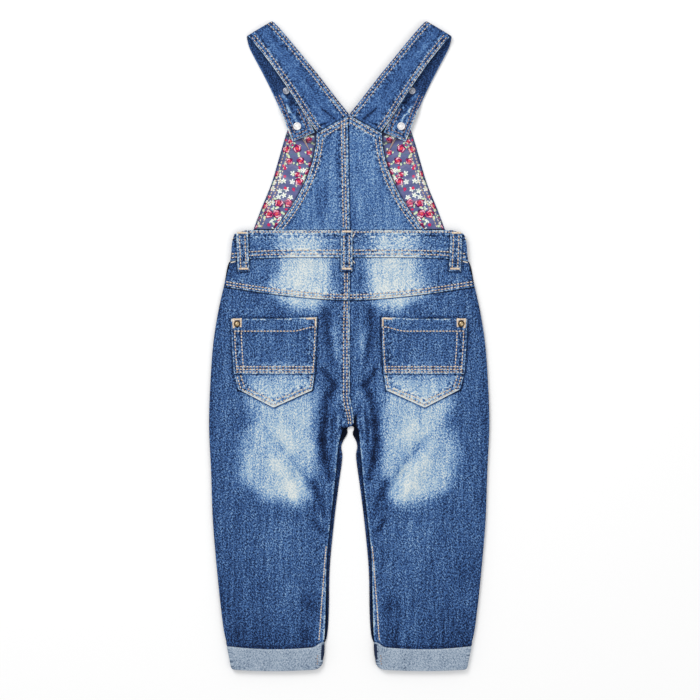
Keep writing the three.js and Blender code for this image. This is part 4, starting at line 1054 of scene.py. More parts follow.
def makeFrontBib(name, node, inset, base, thickness, material, printed):
    downShares, acrossShares = spread(110.0, 1.4 if printed else 5.0), spread(150.0, 1.3 if printed else 5.0) * 2 - 1
    bottom, top = garment["waistTop"] + garment["gap"] + inset, 226.0 - inset
    v = np.repeat(downShares[:, None], len(acrossShares), axis=1)
    y = mix(bottom, top, v)
    half = bibSideX(y) - inset
    x = acrossShares[None, :] * half
    low = np.full_like(x, base)
    across = np.abs(x)
    crease = foldHeight(liningCreases, across, y) * smooth(half - across, 1, 8) if printed else 0
    rim = half - across
    high = low + thickness + crease * 0.5 - 0.35 * (1 - smooth(rim, 0, 0.9))
    if printed:
        free = smooth(across, armholeX(y) + 1, armholeX(y) + 4)
        high = low + thickness + (high - low - thickness) * np.maximum(free, 0)
        lapShade = 0.96 * (1 - smooth(across, armholeX(y) + 0.4, armholeX(y) + mix(1.8, 3.4, smooth(y, 135, 185))))
        lapShade = np.maximum(lapShade, 0.96 * smooth(y, 207.5, 210.5) * (1 - smooth(across, 44, 47)))
        lapShade = np.maximum(lapShade, 0.8 * np.exp(-((y - 204 - (across - 41) * 0.25) / 2.2) ** 2) * (across < 62))
        # painted shade in the lining's crease lines
        lapShade = lapShade + 0.38 * np.clip(foldHeight(liningLines, across, y), 0, 1)
        # painted highlight on the crests of the creases; darker along the rim
        crests = np.clip(crease - 0.25, 0, 1) * 1.1
        toneAndShade = toneAndShadeOf(crests, lapShade + 0.12 * (1 - smooth(rim, 0, 5)) + 0.4 * (1 - smooth(rim, 0.3, 1.1)), rim)
    else:
        toneAndShade = toneAndShadeOf(np.zeros_like(x), 0.1, 16.0)
    piece = wall(name, toMetres(x, y, low), toMetres(x, y, high), clothUv(across if printed else x, y, 23), toneAndShade,
                 material)
    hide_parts(node)


# Straps
strap = {"baseX": -16.2, "baseY": 223.5, "angle": 129.0, "foldAngle": 30.95, "toFold": 117.7, "length": 236.8,
         "radius": 2.9, "step": 1.0}
strapRun = np.array([math.cos(math.radians(strap["angle"])), math.sin(math.radians(strap["angle"]))])
strapAcross = np.array([strapRun[1], -strapRun[0]])
foldLine = np.array([math.cos(math.radians(strap["foldAngle"])), math.sin(math.radians(strap["foldAngle"]))])
foldOut = np.array([-foldLine[1], foldLine[0]])
strapBase = np.array([strap["baseX"], strap["baseY"]])
foldPoint = strapBase + strapRun * strap["toFold"]
frontRest = garment["strap"] / 2
frontOnBib = garment["denim"] + garment["gap"] + garment["lining"] + garment["gap"] + garment["strap"] / 2
strapCreases = table(("x1", "y1", "x2", "y2", "width", "height"),
                     (-27, 236, -15.5, 226.8, 0.9, -1.0), (-15, 226, -28, 219.6, 0.9, -1.0), (-40, 262, -33, 246, 2.6, -0.3),
                     (-26, 229, -19, 225, 3.0, 0.5),
                     (-48, 270, -60, 286, 3.2, 0.4), (-26, 244, -19, 238, 2.0, 0.4))
runCreases = table(("x1", "y1", "x2", "y2", "width", "height"),
                   (-62, 239, -60, 234, 1.0, 0.9), (-60, 234, -54.6, 228.5, 1.0, 0.9), (-54.6, 228.5, -53, 224.5, 1.0, 0.8),
                   (-58, 243, -56, 232, 1.4, -0.6), (-66, 249, -63, 246, 1.6, 0.6), (-62, 252, -58, 246, 2.4, -0.5),
                   (-52, 232, -50, 226, 1.6, -0.5))


def strapPoints(s, aside, lift):
    flatX = strapBase[0] + strapRun[0] * s + strapAcross[0] * aside
    flatY = strapBase[1] + strapRun[1] * s + strapAcross[1] * aside
    radius = strap["radius"]
    past = (flatX - foldPoint[0]) * foldOut[0] + (flatY - foldPoint[1]) * foldOut[1] + radius
    lineX, lineY = flatX - foldOut[0] * past, flatY - foldOut[1] * past
    turn = np.clip(past / radius, 0, math.pi)
    out = np.where(past < 0, past, np.where(past / radius < math.pi, (radius + lift) * np.sin(turn),
                                            -(past - math.pi * radius)))
    x, y = lineX + foldOut[0] * out, lineY + foldOut[1] * out
    onBib = mix(frontOnBib, frontRest, smooth(y, 230, 246))
    backZ = backRunHeight(s) + lift
    foldZ = frontRest + radius + (radius + lift) * np.cos(turn)
    z = np.where(past <= 0, backZ, np.where(past / radius < math.pi, foldZ, onBib - lift))
    x = np.where(past <= 0, np.minimum(x, -garment["gap"]), x)
    return x, y, z, past


def strapStart(q):
    aside = mix(-strapOuter(np.array(0.0)), strapNeck(np.array(0.0)), (q + 1) / 2)
    slope = np.array([bibShape["cornerX"], bibShape["neckPoint"] - bibShape["cornerY"]])
    slope = slope / np.linalg.norm(slope)
    normal = np.array([-slope[1], slope[0]])
    startX = -bibShape["cornerX"] - (strapBase[0] + strapAcross[0] * aside)
    startY = bibShape["cornerY"] - (strapBase[1] + strapAcross[1] * aside)
    return (garment["gap"] + 0.1 + startX * normal[0] + startY * normal[1]) / float(strapRun @ normal)


def strapAside(s, q):
    return mix(-strapOuter(s), strapNeck(s), (q + 1) / 2)


def strapLift(s, aside, face):
    # half the strap's thickness, less at its rounded edges and along its stitches
    rim = np.minimum(strapNeck(s) - aside, aside + strapOuter(s))
    half = garment["strap"] / 2 - 0.5 * (1 - smooth(rim, 0, 1.0)) - 0.12 * np.exp(-((rim - 1.7) / 0.8) ** 2)
    half = half - 0.12 * np.exp(-((rim - 5.2) / 0.8) ** 2) + 0.12 * softNoise(s + 40 * face, aside, 3.4, 61) * (rim < 9)
    return face * half, rim


def strapMirror(x, y, z, side):
    return toMetres(-side * x, y, z)


def makeStrap(word, side):
    shares = spread(30.0, strap["step"]) * 2 - 1
    q = shares[None, :]
    stations = np.concatenate([np.linspace(0, 108, 96), np.linspace(108.6, 130, 44), np.linspace(131, strap["length"] - 1, 92),
                               [strap["length"] - 0.35, strap["length"]]])
    start = strapStart(q)
    s = np.maximum(stations[:, None], start)
    s = np.where(stations[:, None] < 40, start + (40 - start) * stations[:, None] / 40, s)
    s, q = np.broadcast_arrays(s, q)
    aside = strapAside(s, q)
    grids = []
    for face in (-1, 1):
        lift, rim = strapLift(s, aside, face)
        endRim = strap["length"] - s
        lift = lift * (1 - 0.4 * (1 - smooth(endRim, 0, 1.0)))
        x, y, z, past = strapPoints(s, aside, lift)
        creases = np.where(past < 0, foldHeight(strapCreases, x, y) * smooth(s, 1, 8), 0)
        if face < 0:
            run = foldHeight(runCreases, x, y) * (past > 9)
            z = z + run
        z = z + (creases if face > 0 else 0)
        grids.append(strapMirror(x, y, z, side))
    lift, rim = strapLift(s, aside, 1)
    endRim = strap["length"] - s
    edge = np.minimum(rim + 0.9, endRim + 0.9)
    x, y, z, past = strapPoints(s, aside, lift)
    centre = (aside + strapOuter(s)) / (strapNeck(s) + strapOuter(s))
    streak = 0.045 * softNoise(s, aside * 0.3, 2.4, 63) + 0.04 * softNoise(s * 0.12, aside, 3.6, 64)
    patch = 0.05 * np.exp(-(((s - 60) / 26) ** 2 + ((centre - 0.45) / 0.26) ** 2)) + 0.03 + 0.05 * np.exp(-((s - 14) / 16) ** 2) + streak
    patch = np.maximum(patch, 0)
    # painted highlight along the outer edge's ridge
    outerEdgeHighlight = 0.62 * np.exp(-((aside + strapOuter(s) - 0.25) / 0.45) ** 2) * (s < 112)
    creaseShade = np.clip(-foldHeight(strapCreases, x, y), 0, 1) * 0.85 + np.maximum(-streak, 0) * 1.6
    baseShade = 0.30 * np.exp(-(s - start) ** 2 / 3.0) - 0.10 * np.exp(-((s - start - 7) / 5) ** 2)
    sideShade = 0.14 * np.exp(-((rim - 8.4) / 2.2) ** 2)
    foldShade = 0.28 * smooth(past, -1.5, 3)
    topToneAndShade = toneAndShadeOf(patch + outerEdgeHighlight, creaseShade + baseShade + sideShade + foldShade, edge)
    # painted shade on the underside run, less towards the tab
    deepShade = 0.30 * (1 - smooth(s, 178, 226)) + 0.10
    bx, by, bz, bpast = strapPoints(s, aside, -lift)
    # painted highlight on the crests and painted shade in the troughs of the run's creases
    runLight = np.clip(foldHeight(runCreases, bx, by), 0, 1) * (bpast > 9)
    runDark = np.clip(-foldHeight(runCreases, bx, by), 0, 1) * (bpast > 9)
    # painted highlight along the outer rim and round the tab's edge
    outerRimHighlight = 0.30 * np.exp(-((aside + strapOuter(s) - 0.4) / 0.7) ** 2) * smooth(s, 128, 150)
    mottle = 0.07 * softNoise(bx, by, 4.5, 65) * smooth(s, 180, 200)
    tabRimHighlight = 0.50 * np.exp(-((np.minimum(rim, endRim) - 0.5) / 0.5) ** 2) * smooth(s, 196, 206)
    lowToneAndShade = toneAndShadeOf(0.6 * runLight + tabRimHighlight + 0.07 * smooth(s, 196, 228) + outerRimHighlight + np.maximum(mottle, 0),
                  np.maximum(deepShade - 0.5 * runLight + 0.5 * runDark - mottle, 0), np.where(s > 200, edge, 16.0))
    uv = clothUv(aside * (1 if side < 0 else -1), s, 29 + side)
    piece = wall(f"strap_band_{word}", grids[0], grids[1], uv, topToneAndShade, finish["strap"], lowToneAndShade)
    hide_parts(f"strap_{word}")


# Back pockets
pocket = {"seam": -28.4, "clear": 0.45, "step": 1.1, "foot": [(37.2, -44.6), (75.4, -61.8), (110.2, -43.8)]}


def pocketHigh(x, y, side):
    across = np.abs(x)
    clamped = legHigh(np.where(side < 0, -across, across), y, 1)
    rim = np.minimum(across - pocketSide(y, "inner"), pocketSide(y, "outer") - across)
    lowEdge = (y - pocketLow(across)) * 0.9
    upper = y > pocket["seam"]
    welt = np.where(upper, garment["welt"] * np.maximum(smooth(y, 13.4, 14.4), 1 - smooth(y - pocket["seam"], 7.4, 8.4)), 0)
    seam = np.where(upper, np.minimum(rim + 0.8, y - pocket["seam"] + 0.4), np.minimum(rim + 0.8, lowEdge))
    channel = -0.16 * np.exp(-((seam - 2.6) / 0.9) ** 2) - 0.16 * np.exp(-((seam - 6.2) / 0.9) ** 2)
    edge = -0.4 * (1 - smooth(np.minimum(np.minimum(rim, lowEdge), pocketTop(across) - y), 0, 0.9))
    pucker = 0.2 * softNoise(x, y, 3.4, 71) * np.exp(-((seam - 6) / 4) ** 2)
    hemPucker = 0.28 * softNoise(x, y * 0.5, 4.0, 73) * np.exp(-((y - 11.5) / 3.5) ** 2)
    return clamped + pocket["clear"] + garment["denim"] + welt + channel + edge + pucker + hemPucker, seam, rim


def makePocket(word, side):
    for part in ("upper", "lower"):
        acrossShares = spread(80.0, pocket["step"])
        if part == "upper":
            v = spread(56.0, pocket["step"])
            bottom, top = pocket["seam"] + halfGap, None
        else:
            v = spread(34.0, pocket["step"])
            bottom, top = pocket["foot"][1][1] + 0.2, pocket["seam"] - halfGap
        ys = np.repeat(v[:, None], len(acrossShares), axis=1)
        if part == "upper":
            guess = mix(bottom, 27.5, ys)
            inner, outer = pocketSide(guess, "inner"), pocketSide(guess, "outer")
            across = mix(inner, outer, acrossShares[None, :])
            y = mix(bottom, pocketTop(across), ys)
        else:
            across = mix(pocketSide(np.array(-45.5), "inner"), pocketSide(np.array(-45.5), "outer"),
                         acrossShares[None, :]) + 0 * ys
            floor = np.maximum(pocketLow(across), bottom)
            y = mix(floor, top, ys)
            widen = np.clip((y + 45.5) / 17.0, 0, 1)
            inner = mix(37.2, float(pocketSide(top, "inner")), widen)
            outer = mix(110.2, float(pocketSide(top, "outer")), widen)
            across = mix(inner, outer, acrossShares[None, :])
        x = side * across
        high, seam, rim = pocketHigh(x, y, side)
        low = legHigh(x, y, 1) + pocket["clear"]
        high = np.maximum(high, low + 0.5)
        paleness, shade = fadeAndShadeOf(x, y)
        upper = part == "upper"
        # painted shadow below the upper part's lapped edge
        lapShadow = 0 if upper else 0.75 * (1 - smooth(pocket["seam"] - y, 0.3, 1.8))
        ends = np.exp(-((across - 108) / 7) ** 2) + np.exp(-((across - 42) / 9) ** 2)
        hemLine = 14.0 + 4.2 * smooth(-across, -56, -34)
        hemShade = np.exp(-((y - hemLine + 2.6) / 1.3) ** 2) * (0.16 + 0.34 * ends) if upper else 0
        hemShade = hemShade * (0.7 + 0.6 * softNoise(x, y * 0.4, 4.5, 77))
        # pale rim round the pocket, partly wear and partly painted highlight
        rimLine = np.minimum(np.minimum(across - pocketSide(y, "inner"), pocketSide(y, "outer") - across),
                             np.minimum((y - pocketLow(across)) * 0.9, pocketTop(across) - y))
        paleness = paleness + (0.24 if upper else 0.36) * np.exp(-((rimLine - 0.6) / 0.45) ** 2)
        seamDye = np.where(pocketTop(across) - y < 1.2, np.minimum(seam, pocketTop(across) - y + 0.3), seam)
        toneAndShade = toneAndShadeOf(np.minimum(paleness, 1), shade + lapShadow + np.maximum(hemShade, 0), seamDye)
        piece = wall(f"backPocket_{part}_{word}", toMetres(x, y, low), toMetres(x, y, high), clothUv(x, y, 33 + side), toneAndShade,
                     finish["leg"])
        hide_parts(f"pocket_{part}_{word}")


# Belt loops
beltLoop = {"width": 11.6, "bottom": 74.0, "lean": 1.4, "centres": {"left": -105.4, "centre": -2.6, "right": 105.4}}


def loopSurface(middle, x, y):
    lean = beltLoop["lean"] * np.sign(round(middle / 50))
    stretch = np.clip((y - beltLoop["bottom"]) / (garment["waistTop"] - beltLoop["bottom"]), 0, 1)
    onYoke = backUnder(x, np.minimum(y, bandBottom(x) - 1)) + garment["denim"] + garment["gap"] + 0.35
    onBand = backUnder(x, np.minimum(y, bandTop(x) - 1)) + garment["doubled"] + garment["gap"] + 0.2
    under = mix(onYoke, onBand, smooth(y, beltLoop["bottom"] + 3, bandBottom(x) - 1.5))
    aside = (x - middle - lean * stretch) / beltLoop["width"]
    return under + 0.7 * np.sin(math.pi * stretch) + 0.1, aside, stretch


def makeLoop(word, middle):
    v, u = spread(41.0, 0.9), spread(beltLoop["width"], 0.6) - 0.5
    lean = beltLoop["lean"] * np.sign(round(middle / 50))
    stretch = np.repeat(v[:, None], len(u), axis=1)
    x = middle + u[None, :] * beltLoop["width"] + lean * stretch
    y = mix(beltLoop["bottom"], bandTop(x) + 0.4, stretch)
    low, aside, _ = loopSurface(middle, x, y)
    rim = (0.5 - np.abs(aside)) * beltLoop["width"]
    endRim = np.minimum(stretch, 1 - stretch) * 41
    high = low + garment["loop"] - 0.5 * (1 - smooth(rim, 0, 1.1)) - 0.25 * np.exp(-((rim - 3.0) / 0.8) ** 2)
    high = high + 0.2 * softNoise(x, y, 3.2, 81) - 0.4 * (1 - smooth(endRim, 0, 1.2))
    # painted shade down the loop's middle and at its ends, and painted highlight along its edges
    middleShade = 0.34 * np.exp(-((rim - 5.8) / 1.5) ** 2)
    toneAndShade = toneAndShadeOf(0.10 * np.exp(-((rim - 1.2) / 0.9) ** 2) + 0.06 * softNoise(x, y, 5, 83), middleShade + 0.06
               + 0.2 * np.exp(-(endRim / 2.0) ** 2), rim + 0.2)
    piece = wall(f"beltLoop_{word}", toMetres(x, y, low), toMetres(x, y, high), clothUv(x, y, 37 + middle), toneAndShade,
                 finish["loop"])
    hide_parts(f"belt_loop_{word}")


# Cuffs
sewn = {"tan": [], "strap": [], "dim": []}
up = np.array([0.0, 0.0, 1.0])
cuff = {"top": -300.3, "depth": 23.5, "foot": 3.5, "peek": 2.4}


def makeCuff(word, side):
    bottom = cuff["top"] - cuff["depth"]
    centreZ = garment["denim"] * 2 + garment["gap"] * 1.5
    midRadius = centreZ - garment["denim"] / 2
    outside = [(0, -1.4), (0, -0.2), (0.15, 0.25), (0.6, 0.6), (1.2, 0.62)]
    outside += [(h, 0.6) for h in np.arange(2.4, cuff["depth"] - 0.9, 1.2)]
    outside += [(cuff["depth"] - 0.7, 0.58), (cuff["depth"] - 0.2, 0.4), (cuff["depth"], 0.05)]
    inside = [(cuff["depth"], -0.3), (cuff["depth"] - 0.4, -0.6)] + [(h, -0.6) for h in (20, 17, 14.5, 11.5, 8, cuff["foot"])]
    inside += [(cuff["foot"], -2.1), (0.4, -2.1)]
    section = outside + inside
    straight, bend = np.linspace(0, 1, 64), np.linspace(0, 1, 22)[1:-1]
    places = [(1 - 2 * t, math.pi / 2, 0.0) for t in straight]
    places += [(-1.0, math.pi / 2 + t * math.pi, t * t) for t in bend]
    places += [(2 * t - 1, -math.pi / 2, (1 - t) ** 6) for t in straight]
    places += [(1.0, -math.pi / 2 + t * math.pi, 0.0) for t in bend]
    along, angle, showing = (np.array(v)[:, None] for v in zip(*places))
    height, outwards = (np.array(v)[None, :] for v in zip(*section))

    def rounding(h, radius):
        return radius - np.sqrt(np.maximum(radius ** 2 - (radius - np.minimum(h, radius)) ** 2, 0))
    inner = 26.6 - 0.06 * height + rounding(height, 9)
    outer = 117.6 + 0.2 * height - rounding(height, 3)
    sag = mix(1.1, 2.8, height / cuff["depth"]) * (1 - along ** 2)
    peek = cuff["peek"] * showing * smooth(height, 11, 15)
    middle, half = (inner + outer) / 2, (outer - inner) / 2 - centreZ
    radius = midRadius + outwards
    x = middle + along * half + radius * np.cos(angle) - peek
    rise = 4.2 * smooth(-x, -37, -26) * smooth(height, 17, 24) * (np.sin(angle) > -0.2)
    y = bottom + height - sag + rise
    z = centreZ + radius * np.sin(angle)
    isTop = (np.sin(angle) > 0.2) & (outwards > 0.3)
    z = z + np.where(isTop, 0.22 * softNoise(x, y, 7, 91) * smooth(height, 0, 5), 0)
    points = toMetres(side * x, y, z)
    rows, columns = points.shape[:2]
    index = np.arange(rows * columns).reshape(rows, columns)
    a, b = index, np.roll(index, -1, axis=0)
    quads = np.stack([a, b, np.roll(b, -1, axis=1), np.roll(a, -1, axis=1)], axis=-1).reshape(-1, 4)
    if side < 0:
        quads = quads[:, ::-1]
    around = along * half * np.sign(np.sin(angle)) + 0 * x
    uv = np.stack([around * 0.001 + 0.5 + 0.2 * side, y * 0.001 + 0 * x], axis=-1).reshape(-1, 2)
    # painted shade: a dark spot at the inner top corner, the lower layer's inner end, the peeking under-layer, both
    # ends, the bottom and the inside faces
    spot = 0.5 * np.exp(-((x - 25.4) / 1.6) ** 2 - ((y + 301.2) / 1.6) ** 2)
    lower = (z < centreZ + 0.35) & (x < 27.5)
    edge = np.exp(-((height - cuff["depth"] + 0.9) / 0.8) ** 2) * 0.4 + 0.30 * np.exp(-((height - 0.9) / 0.9) ** 2)
    shade = np.where(lower, 0.9, 0.0) + 0.10 * (1 - smooth(outer - x, 0, 7)) + 0.16 * (1 - smooth(x - inner, 0, 4))
    under = smooth(inner + 2.6 - x, 0, 0.6) * smooth(height, 9, 11.5) * (1 - smooth(height, 20.5, 22.5))
    shade = shade + 0.95 * under + spot + 0.05 * softNoise(x, y, 6, 93) + 0.10 * (1 - smooth(height, 0, 6)) + np.where(outwards < -0.4, 0.5, 0) + 0 * x
    toneAndShade = toneAndShadeOf(edge + 0 * x, shade, 16.0).reshape(-1, 4)
    piece = meshFrom(f"turnUp_{word}", points.reshape(-1, 3), quads.tolist(), uv, toneAndShade, finish["reverse"])
    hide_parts(f"cuff_{word}")
    tacks = [(side * (31.2 + 0.5 * (i % 2)), -309.0 - 2.6 * i) for i in range(4)]
    for tackX, tackY in tacks:
        tackZ = 2 * centreZ + 0.15
        sewn["dim"].append((toMetres(np.array(tackX), np.array(tackY), tackZ),
                            toMetres(np.array(tackX + 0.6 * side), np.array(tackY - 1.5), tackZ), up))


# Stitches
stitching = {"pitch": 3.25, "length": 2.3, "width": 0.53, "height": 0.36}
ringCount, ringSides = 5, 6


def threads(name, starts, ends, ups, width, height, material, body="root"):
    # one closed capsule for each stitch, all in one mesh
    starts, ends, ups = (np.asarray(v, float) for v in (starts, ends, ups))
    forward = ends - starts
    length = np.linalg.norm(forward, axis=1, keepdims=True)
    forward = forward / length
    aside = np.cross(ups, forward)
    aside = aside / np.linalg.norm(aside, axis=1, keepdims=True)
    upward = np.cross(forward, aside)
    along = np.array([0.0, 0.14, 0.5, 0.86, 1.0])
    girth = np.array([0.45, 0.86, 1.0, 0.86, 0.45])
    rise = np.array([-0.5, 0.25, 0.55, 0.25, -0.5])
    turns = np.arange(ringSides) * 2 * math.pi / ringSides
    rings = []
    for i in range(ringCount):
        centre = starts + forward * length * along[i] + upward * height * rise[i]
        for turn in turns:
            rings.append(centre + aside * width * girth[i] * math.cos(turn) + upward * height * girth[i] * math.sin(turn))
    points = np.stack(rings, axis=1)
    count, each = len(starts), ringCount * ringSides
    faces = []
    for i in range(ringCount - 1):
        for k in range(ringSides):
            m = (k + 1) % ringSides
            faces.append((i * ringSides + k, i * ringSides + m, (i + 1) * ringSides + m, (i + 1) * ringSides + k))
    template = np.array(faces)
    quads = (template[None] + (np.arange(count) * each)[:, None, None]).reshape(-1, 4)
    caps = [tuple(range(ringSides))[::-1], tuple(range((ringCount - 1) * ringSides, each))]
    ends = [tuple(v + n * each for v in cap) for n in range(count) for cap in caps]
    tone = np.abs(np.sin(np.arange(count) * 12.9898) * 43758.5453) % 1
    toneAndShade = np.ones((count, each, 4)) * np.array([0, 0, 1, 1])
    toneAndShade[:, :, 0] = 0.25 + 0.75 * tone[:, None]
    along1 = np.repeat(along, ringSides)[None, :] * length * 900
    around1 = np.tile(turns, ringCount)[None, :] * 0.16 + np.arange(count)[:, None] * 0.37
    uv = np.stack([along1 + around1, around1 + 0 * along1], axis=-1).reshape(-1, 2)
    return meshFrom(name, points.reshape(-1, 3), quads.tolist() + ends, uv, toneAndShade.reshape(-1, 4), material)


def resample(path, pitch):
    path = np.asarray(path, float)
    steps = np.linalg.norm(np.diff(path[:, :2], axis=0), axis=1)
    total = np.concatenate([[0], np.cumsum(steps)])
    marks = np.arange(0.4, total[-1] - stitching["length"], pitch)
    return [np.interp(marks + add, total, path[:, k]) for add in (0.0, stitching["length"]) for k in range(path.shape[1])]


def sew(path, height, up=(0, 0, 1), pitch=None):
    # path holds drawing points x, y; height(x, y) is the cloth's surface there
    x1, y1, x2, y2 = resample(path, pitch or stitching["pitch"])
    wobble = 0.16 * np.sin(np.arange(len(x1)) * 2.1)
    direction = np.stack([x2 - x1, y2 - y1], axis=-1)
    direction = direction / np.linalg.norm(direction, axis=1, keepdims=True)
    x1, y1 = x1 - direction[:, 1] * wobble, y1 + direction[:, 0] * wobble
    x2, y2 = x2 + direction[:, 1] * wobble, y2 - direction[:, 0] * wobble
    lift = 0.10
    a = toMetres(x1, y1, height(x1, y1) + lift)
    b = toMetres(x2, y2, height(x2, y2) + lift)
    sewn["tan"].extend(zip(a, b, [np.array(up, float)] * len(a)))


def sewStrap(s, aside, face, side, colour="strap"):
    path = np.stack([np.asarray(s, float), np.asarray(aside, float)], axis=-1)
    s1, a1, s2, a2 = resample(path, stitching["pitch"])
    points = []
    for along, across in ((s1, a1), (s2, a2)):
        lift, rim = strapLift(along, across, face)
        x, y, z, past = strapPoints(along, across, lift + face * 0.12)
        points.append(strapMirror(x, y, z, side))
    middle, _ = strapLift((s1 + s2) / 2, (a1 + a2) / 2, face)
    inner = strapMirror(*strapPoints((s1 + s2) / 2, (a1 + a2) / 2, middle * 0)[:3], side)
    outer = strapMirror(*strapPoints((s1 + s2) / 2, (a1 + a2) / 2, middle)[:3], side)
    ups = outer - inner
    ups = ups / np.linalg.norm(ups, axis=1, keepdims=True)
    sewn[colour].extend(zip(points[0], points[1], ups))


def bartack(x, y, dx, dy, width, height, colour="tan", every=0.62):
    # a bar of close stitches from (x, y) along (dx, dy)
    length = math.hypot(dx, dy)
    ux, uy = dx / length, dy / length
    marks = np.arange(0, length, every)
    sway = 0.22 * np.sin(np.arange(len(marks)) * 2.6)
    x1 = x + ux * marks - uy * (width / 2 + sway)
    y1 = y + uy * marks + ux * (width / 2 + sway)
    x2 = x + ux * (marks + every * 0.5) + uy * (width / 2 - sway)
    y2 = y + uy * (marks + every * 0.5) - ux * (width / 2 - sway)
    a = toMetres(x1, y1, height(x1, y1) + 0.12)
    b = toMetres(x2, y2, height(x2, y2) + 0.12)
    sewn[colour].extend(zip(a, b, [np.array([0.0, 0.0, 1.0])] * len(a)))


def lineOf(a, b, count=30):
    t = np.linspace(0, 1, count)
    return np.stack([mix(a[0], b[0], t), mix(a[1], b[1], t)], axis=-1)


def sewSeams():
    for side in (-1, 1):
        # yoke
        for offset in (yokeRows["first"], yokeRows["second"]):
            xs = np.linspace(0.6, 124.6, 80)
            ys = yokeSeam(xs) + offset
            keep = xs < sideX(ys) - 0.6
            sew(np.stack([side * xs[keep], ys[keep]], axis=-1), lambda x, y: yokeHigh(x, y, side))
        # bib sides and top
        for offset in (2.3, 6.2):
            ys = np.linspace(115.8, bibShape["cornerY"] - offset * 0.9, 60)
            xs = armholeX(ys) - offset * np.sqrt(1 + np.gradient(armholeX(ys), ys) ** 2)
            sew(np.stack([side * xs, ys], axis=-1), lambda x, y: bibHigh(x, y, side))
            slope = (bibShape["neckPoint"] - bibShape["cornerY"]) / bibShape["cornerX"]
            xs = np.linspace(0.4, bibShape["cornerX"] - offset * 0.75, 20)
            ys = bibShape["neckPoint"] - slope * xs - offset * math.hypot(1, slope)
            sew(np.stack([side * xs, ys], axis=-1), lambda x, y: bibHigh(x, y, side))
    # centre seam, on the left half all the way down
    for row in (0, 1):
        ys = np.linspace(226.0 - 1.4 * row, 116, 60)
        sew(np.stack([middleSeam(ys) - (3.5, 6.5)[row], ys], axis=-1), lambda x, y: bibHigh(x, y, -1))
        ys = np.linspace(72.4, 46.0, 24)
        offset = (yokeRows["middleFirst"], yokeRows["middleSecond"])[row]
        sew(np.stack([middleSeam(ys) - offset, ys], axis=-1), lambda x, y: yokeHigh(x, y, -1))
        ys = np.linspace(44.2, -79.4, 90)
        edge = seatDrift(np.zeros_like(ys), ys) + middleSeam(ys)
        sew(np.stack([edge - seatRows(ys)[row], ys], axis=-1), lambda x, y: legHigh(x, y, -1))
    # waistband
    reach = np.linspace(-117.6, 117.6, 220)
    for offset in (3.3, 7.0):
        sew(np.stack([reach, bandBottom(reach) + offset], axis=-1), bandHigh)
    inner = np.linspace(-112.5, 112.5, 210)
    sew(np.stack([inner, bandTop(inner) - 1.8], axis=-1), bandHigh)


def sewPockets():
    for side in (-1, 1):
        def height(x, y):
            return pocketHigh(x, y, side)[0]
        # hem, with its inner end rising to the corner
        xs = np.linspace(34.4, 116.4, 60)
        sew(np.stack([side * xs, 14.3 + 4.2 * smooth(-xs, -56, -34)], axis=-1), height)
        for offset in (1.9, 4.6, 7.3):
            y = pocket["seam"] + offset
            xs = np.linspace(float(pocketSide(y, "inner")) + 0.8, float(pocketSide(y, "outer")) - 1.0, 50)
            sew(np.stack([side * xs, np.full_like(xs, y)], axis=-1), height)
        for offset in (3.2, 9.7):
            ys = np.linspace(13.4, pocket["seam"] + 1, 30)
            sew(np.stack([side * (pocketSide(ys, "outer") - offset), ys], axis=-1), height)
        ys = np.linspace(18.4, pocket["seam"] + 1, 30)
        sew(np.stack([side * (pocketSide(ys, "inner") + 1.6), ys], axis=-1), height)
        ys = np.linspace(27.2, 19.2, 8)
        sew(np.stack([side * (pocketSide(ys, "inner") + 1.6), ys], axis=-1), height)
        # the two rows round the foot of the pocket
        for offset in (2.2, 5.9):
            (innerX, innerY), (tipX, tipY), (outerX, outerY) = pocket["foot"]
            path = [(innerX + offset * 1.02, innerY + offset * 0.35), (tipX, tipY + offset * 1.12),
                    (outerX - offset * 1.02, outerY + offset * 0.35), (pocketSide(-29.6, "outer") - offset, -29.6)]
            if offset < 4:
                path.insert(0, (pocketSide(-29.6, "inner") + offset, -29.6))
            for a, b in zip(path[:-1], path[1:]):
                sew([(side * p[0], p[1]) for p in lineOf(a, b)], height)
        bartack(side * 33.6, 27.2, side * 9.0, -0.6, 1.7, height)
        bartack(side * 33.5, 26.4, 0, -7.0, 1.4, height)
        bartack(side * 115.4, 26.6, side * -0.5, -9.2, 2.4, height)
        bartack(side * 108.0, 26.9, side * 0.2, -8.6, 1.9, height)
        bartack(side * 114.6, 26.0, side * -6.4, 0.1, 1.7, height)


def sewLoops():
    for word, middle in beltLoop["centres"].items():
        lean = beltLoop["lean"] * np.sign(round(middle / 50))

        def height(x, y):
            return loopSurface(middle, x, y)[0] + garment["loop"]
        for offset in (-2.7, 2.7):
            path = lineOf((middle + offset, 77.5), (middle + offset + lean, 111.5))
            sew(path, height)
        bartack(middle - 4.4, 76.6, 8.8, 0, 1.9, height)
        bartack(middle + lean - 4.4, float(bandTop(np.array(middle))) - 1.4, 8.8, 0, 1.9, height)


def sewStraps():
    for side in (-1, 1):
        for offset in (1.7, 5.2):
            for edge in (-1, 1):
                s = np.linspace(float(strapStart(np.array(float(edge)))) + 1.5, 119.0, 90)
                aside = -strapOuter(s) + offset if edge < 0 else strapNeck(s) - offset
                if edge > 0:
                    keep = strapBase[0] + strapRun[0] * s + strapAcross[0] * aside < -1.2
                    s, aside = s[keep], aside[keep]
                sewStrap(s, aside, 1, side)
                s = np.linspace(188.0 if edge < 0 else 208.0, strap["length"] - offset, 40)
                aside = -strapOuter(s) + offset if edge < 0 else strapNeck(s) - offset
                sewStrap(s, aside, -1, side, "dim")
            end = strap["length"] - offset
            a = np.linspace(-float(strapOuter(np.array(end))) + offset, float(strapNeck(np.array(end))) - offset, 20)
            sewStrap(np.full_like(a, end), a, -1, side, "dim")


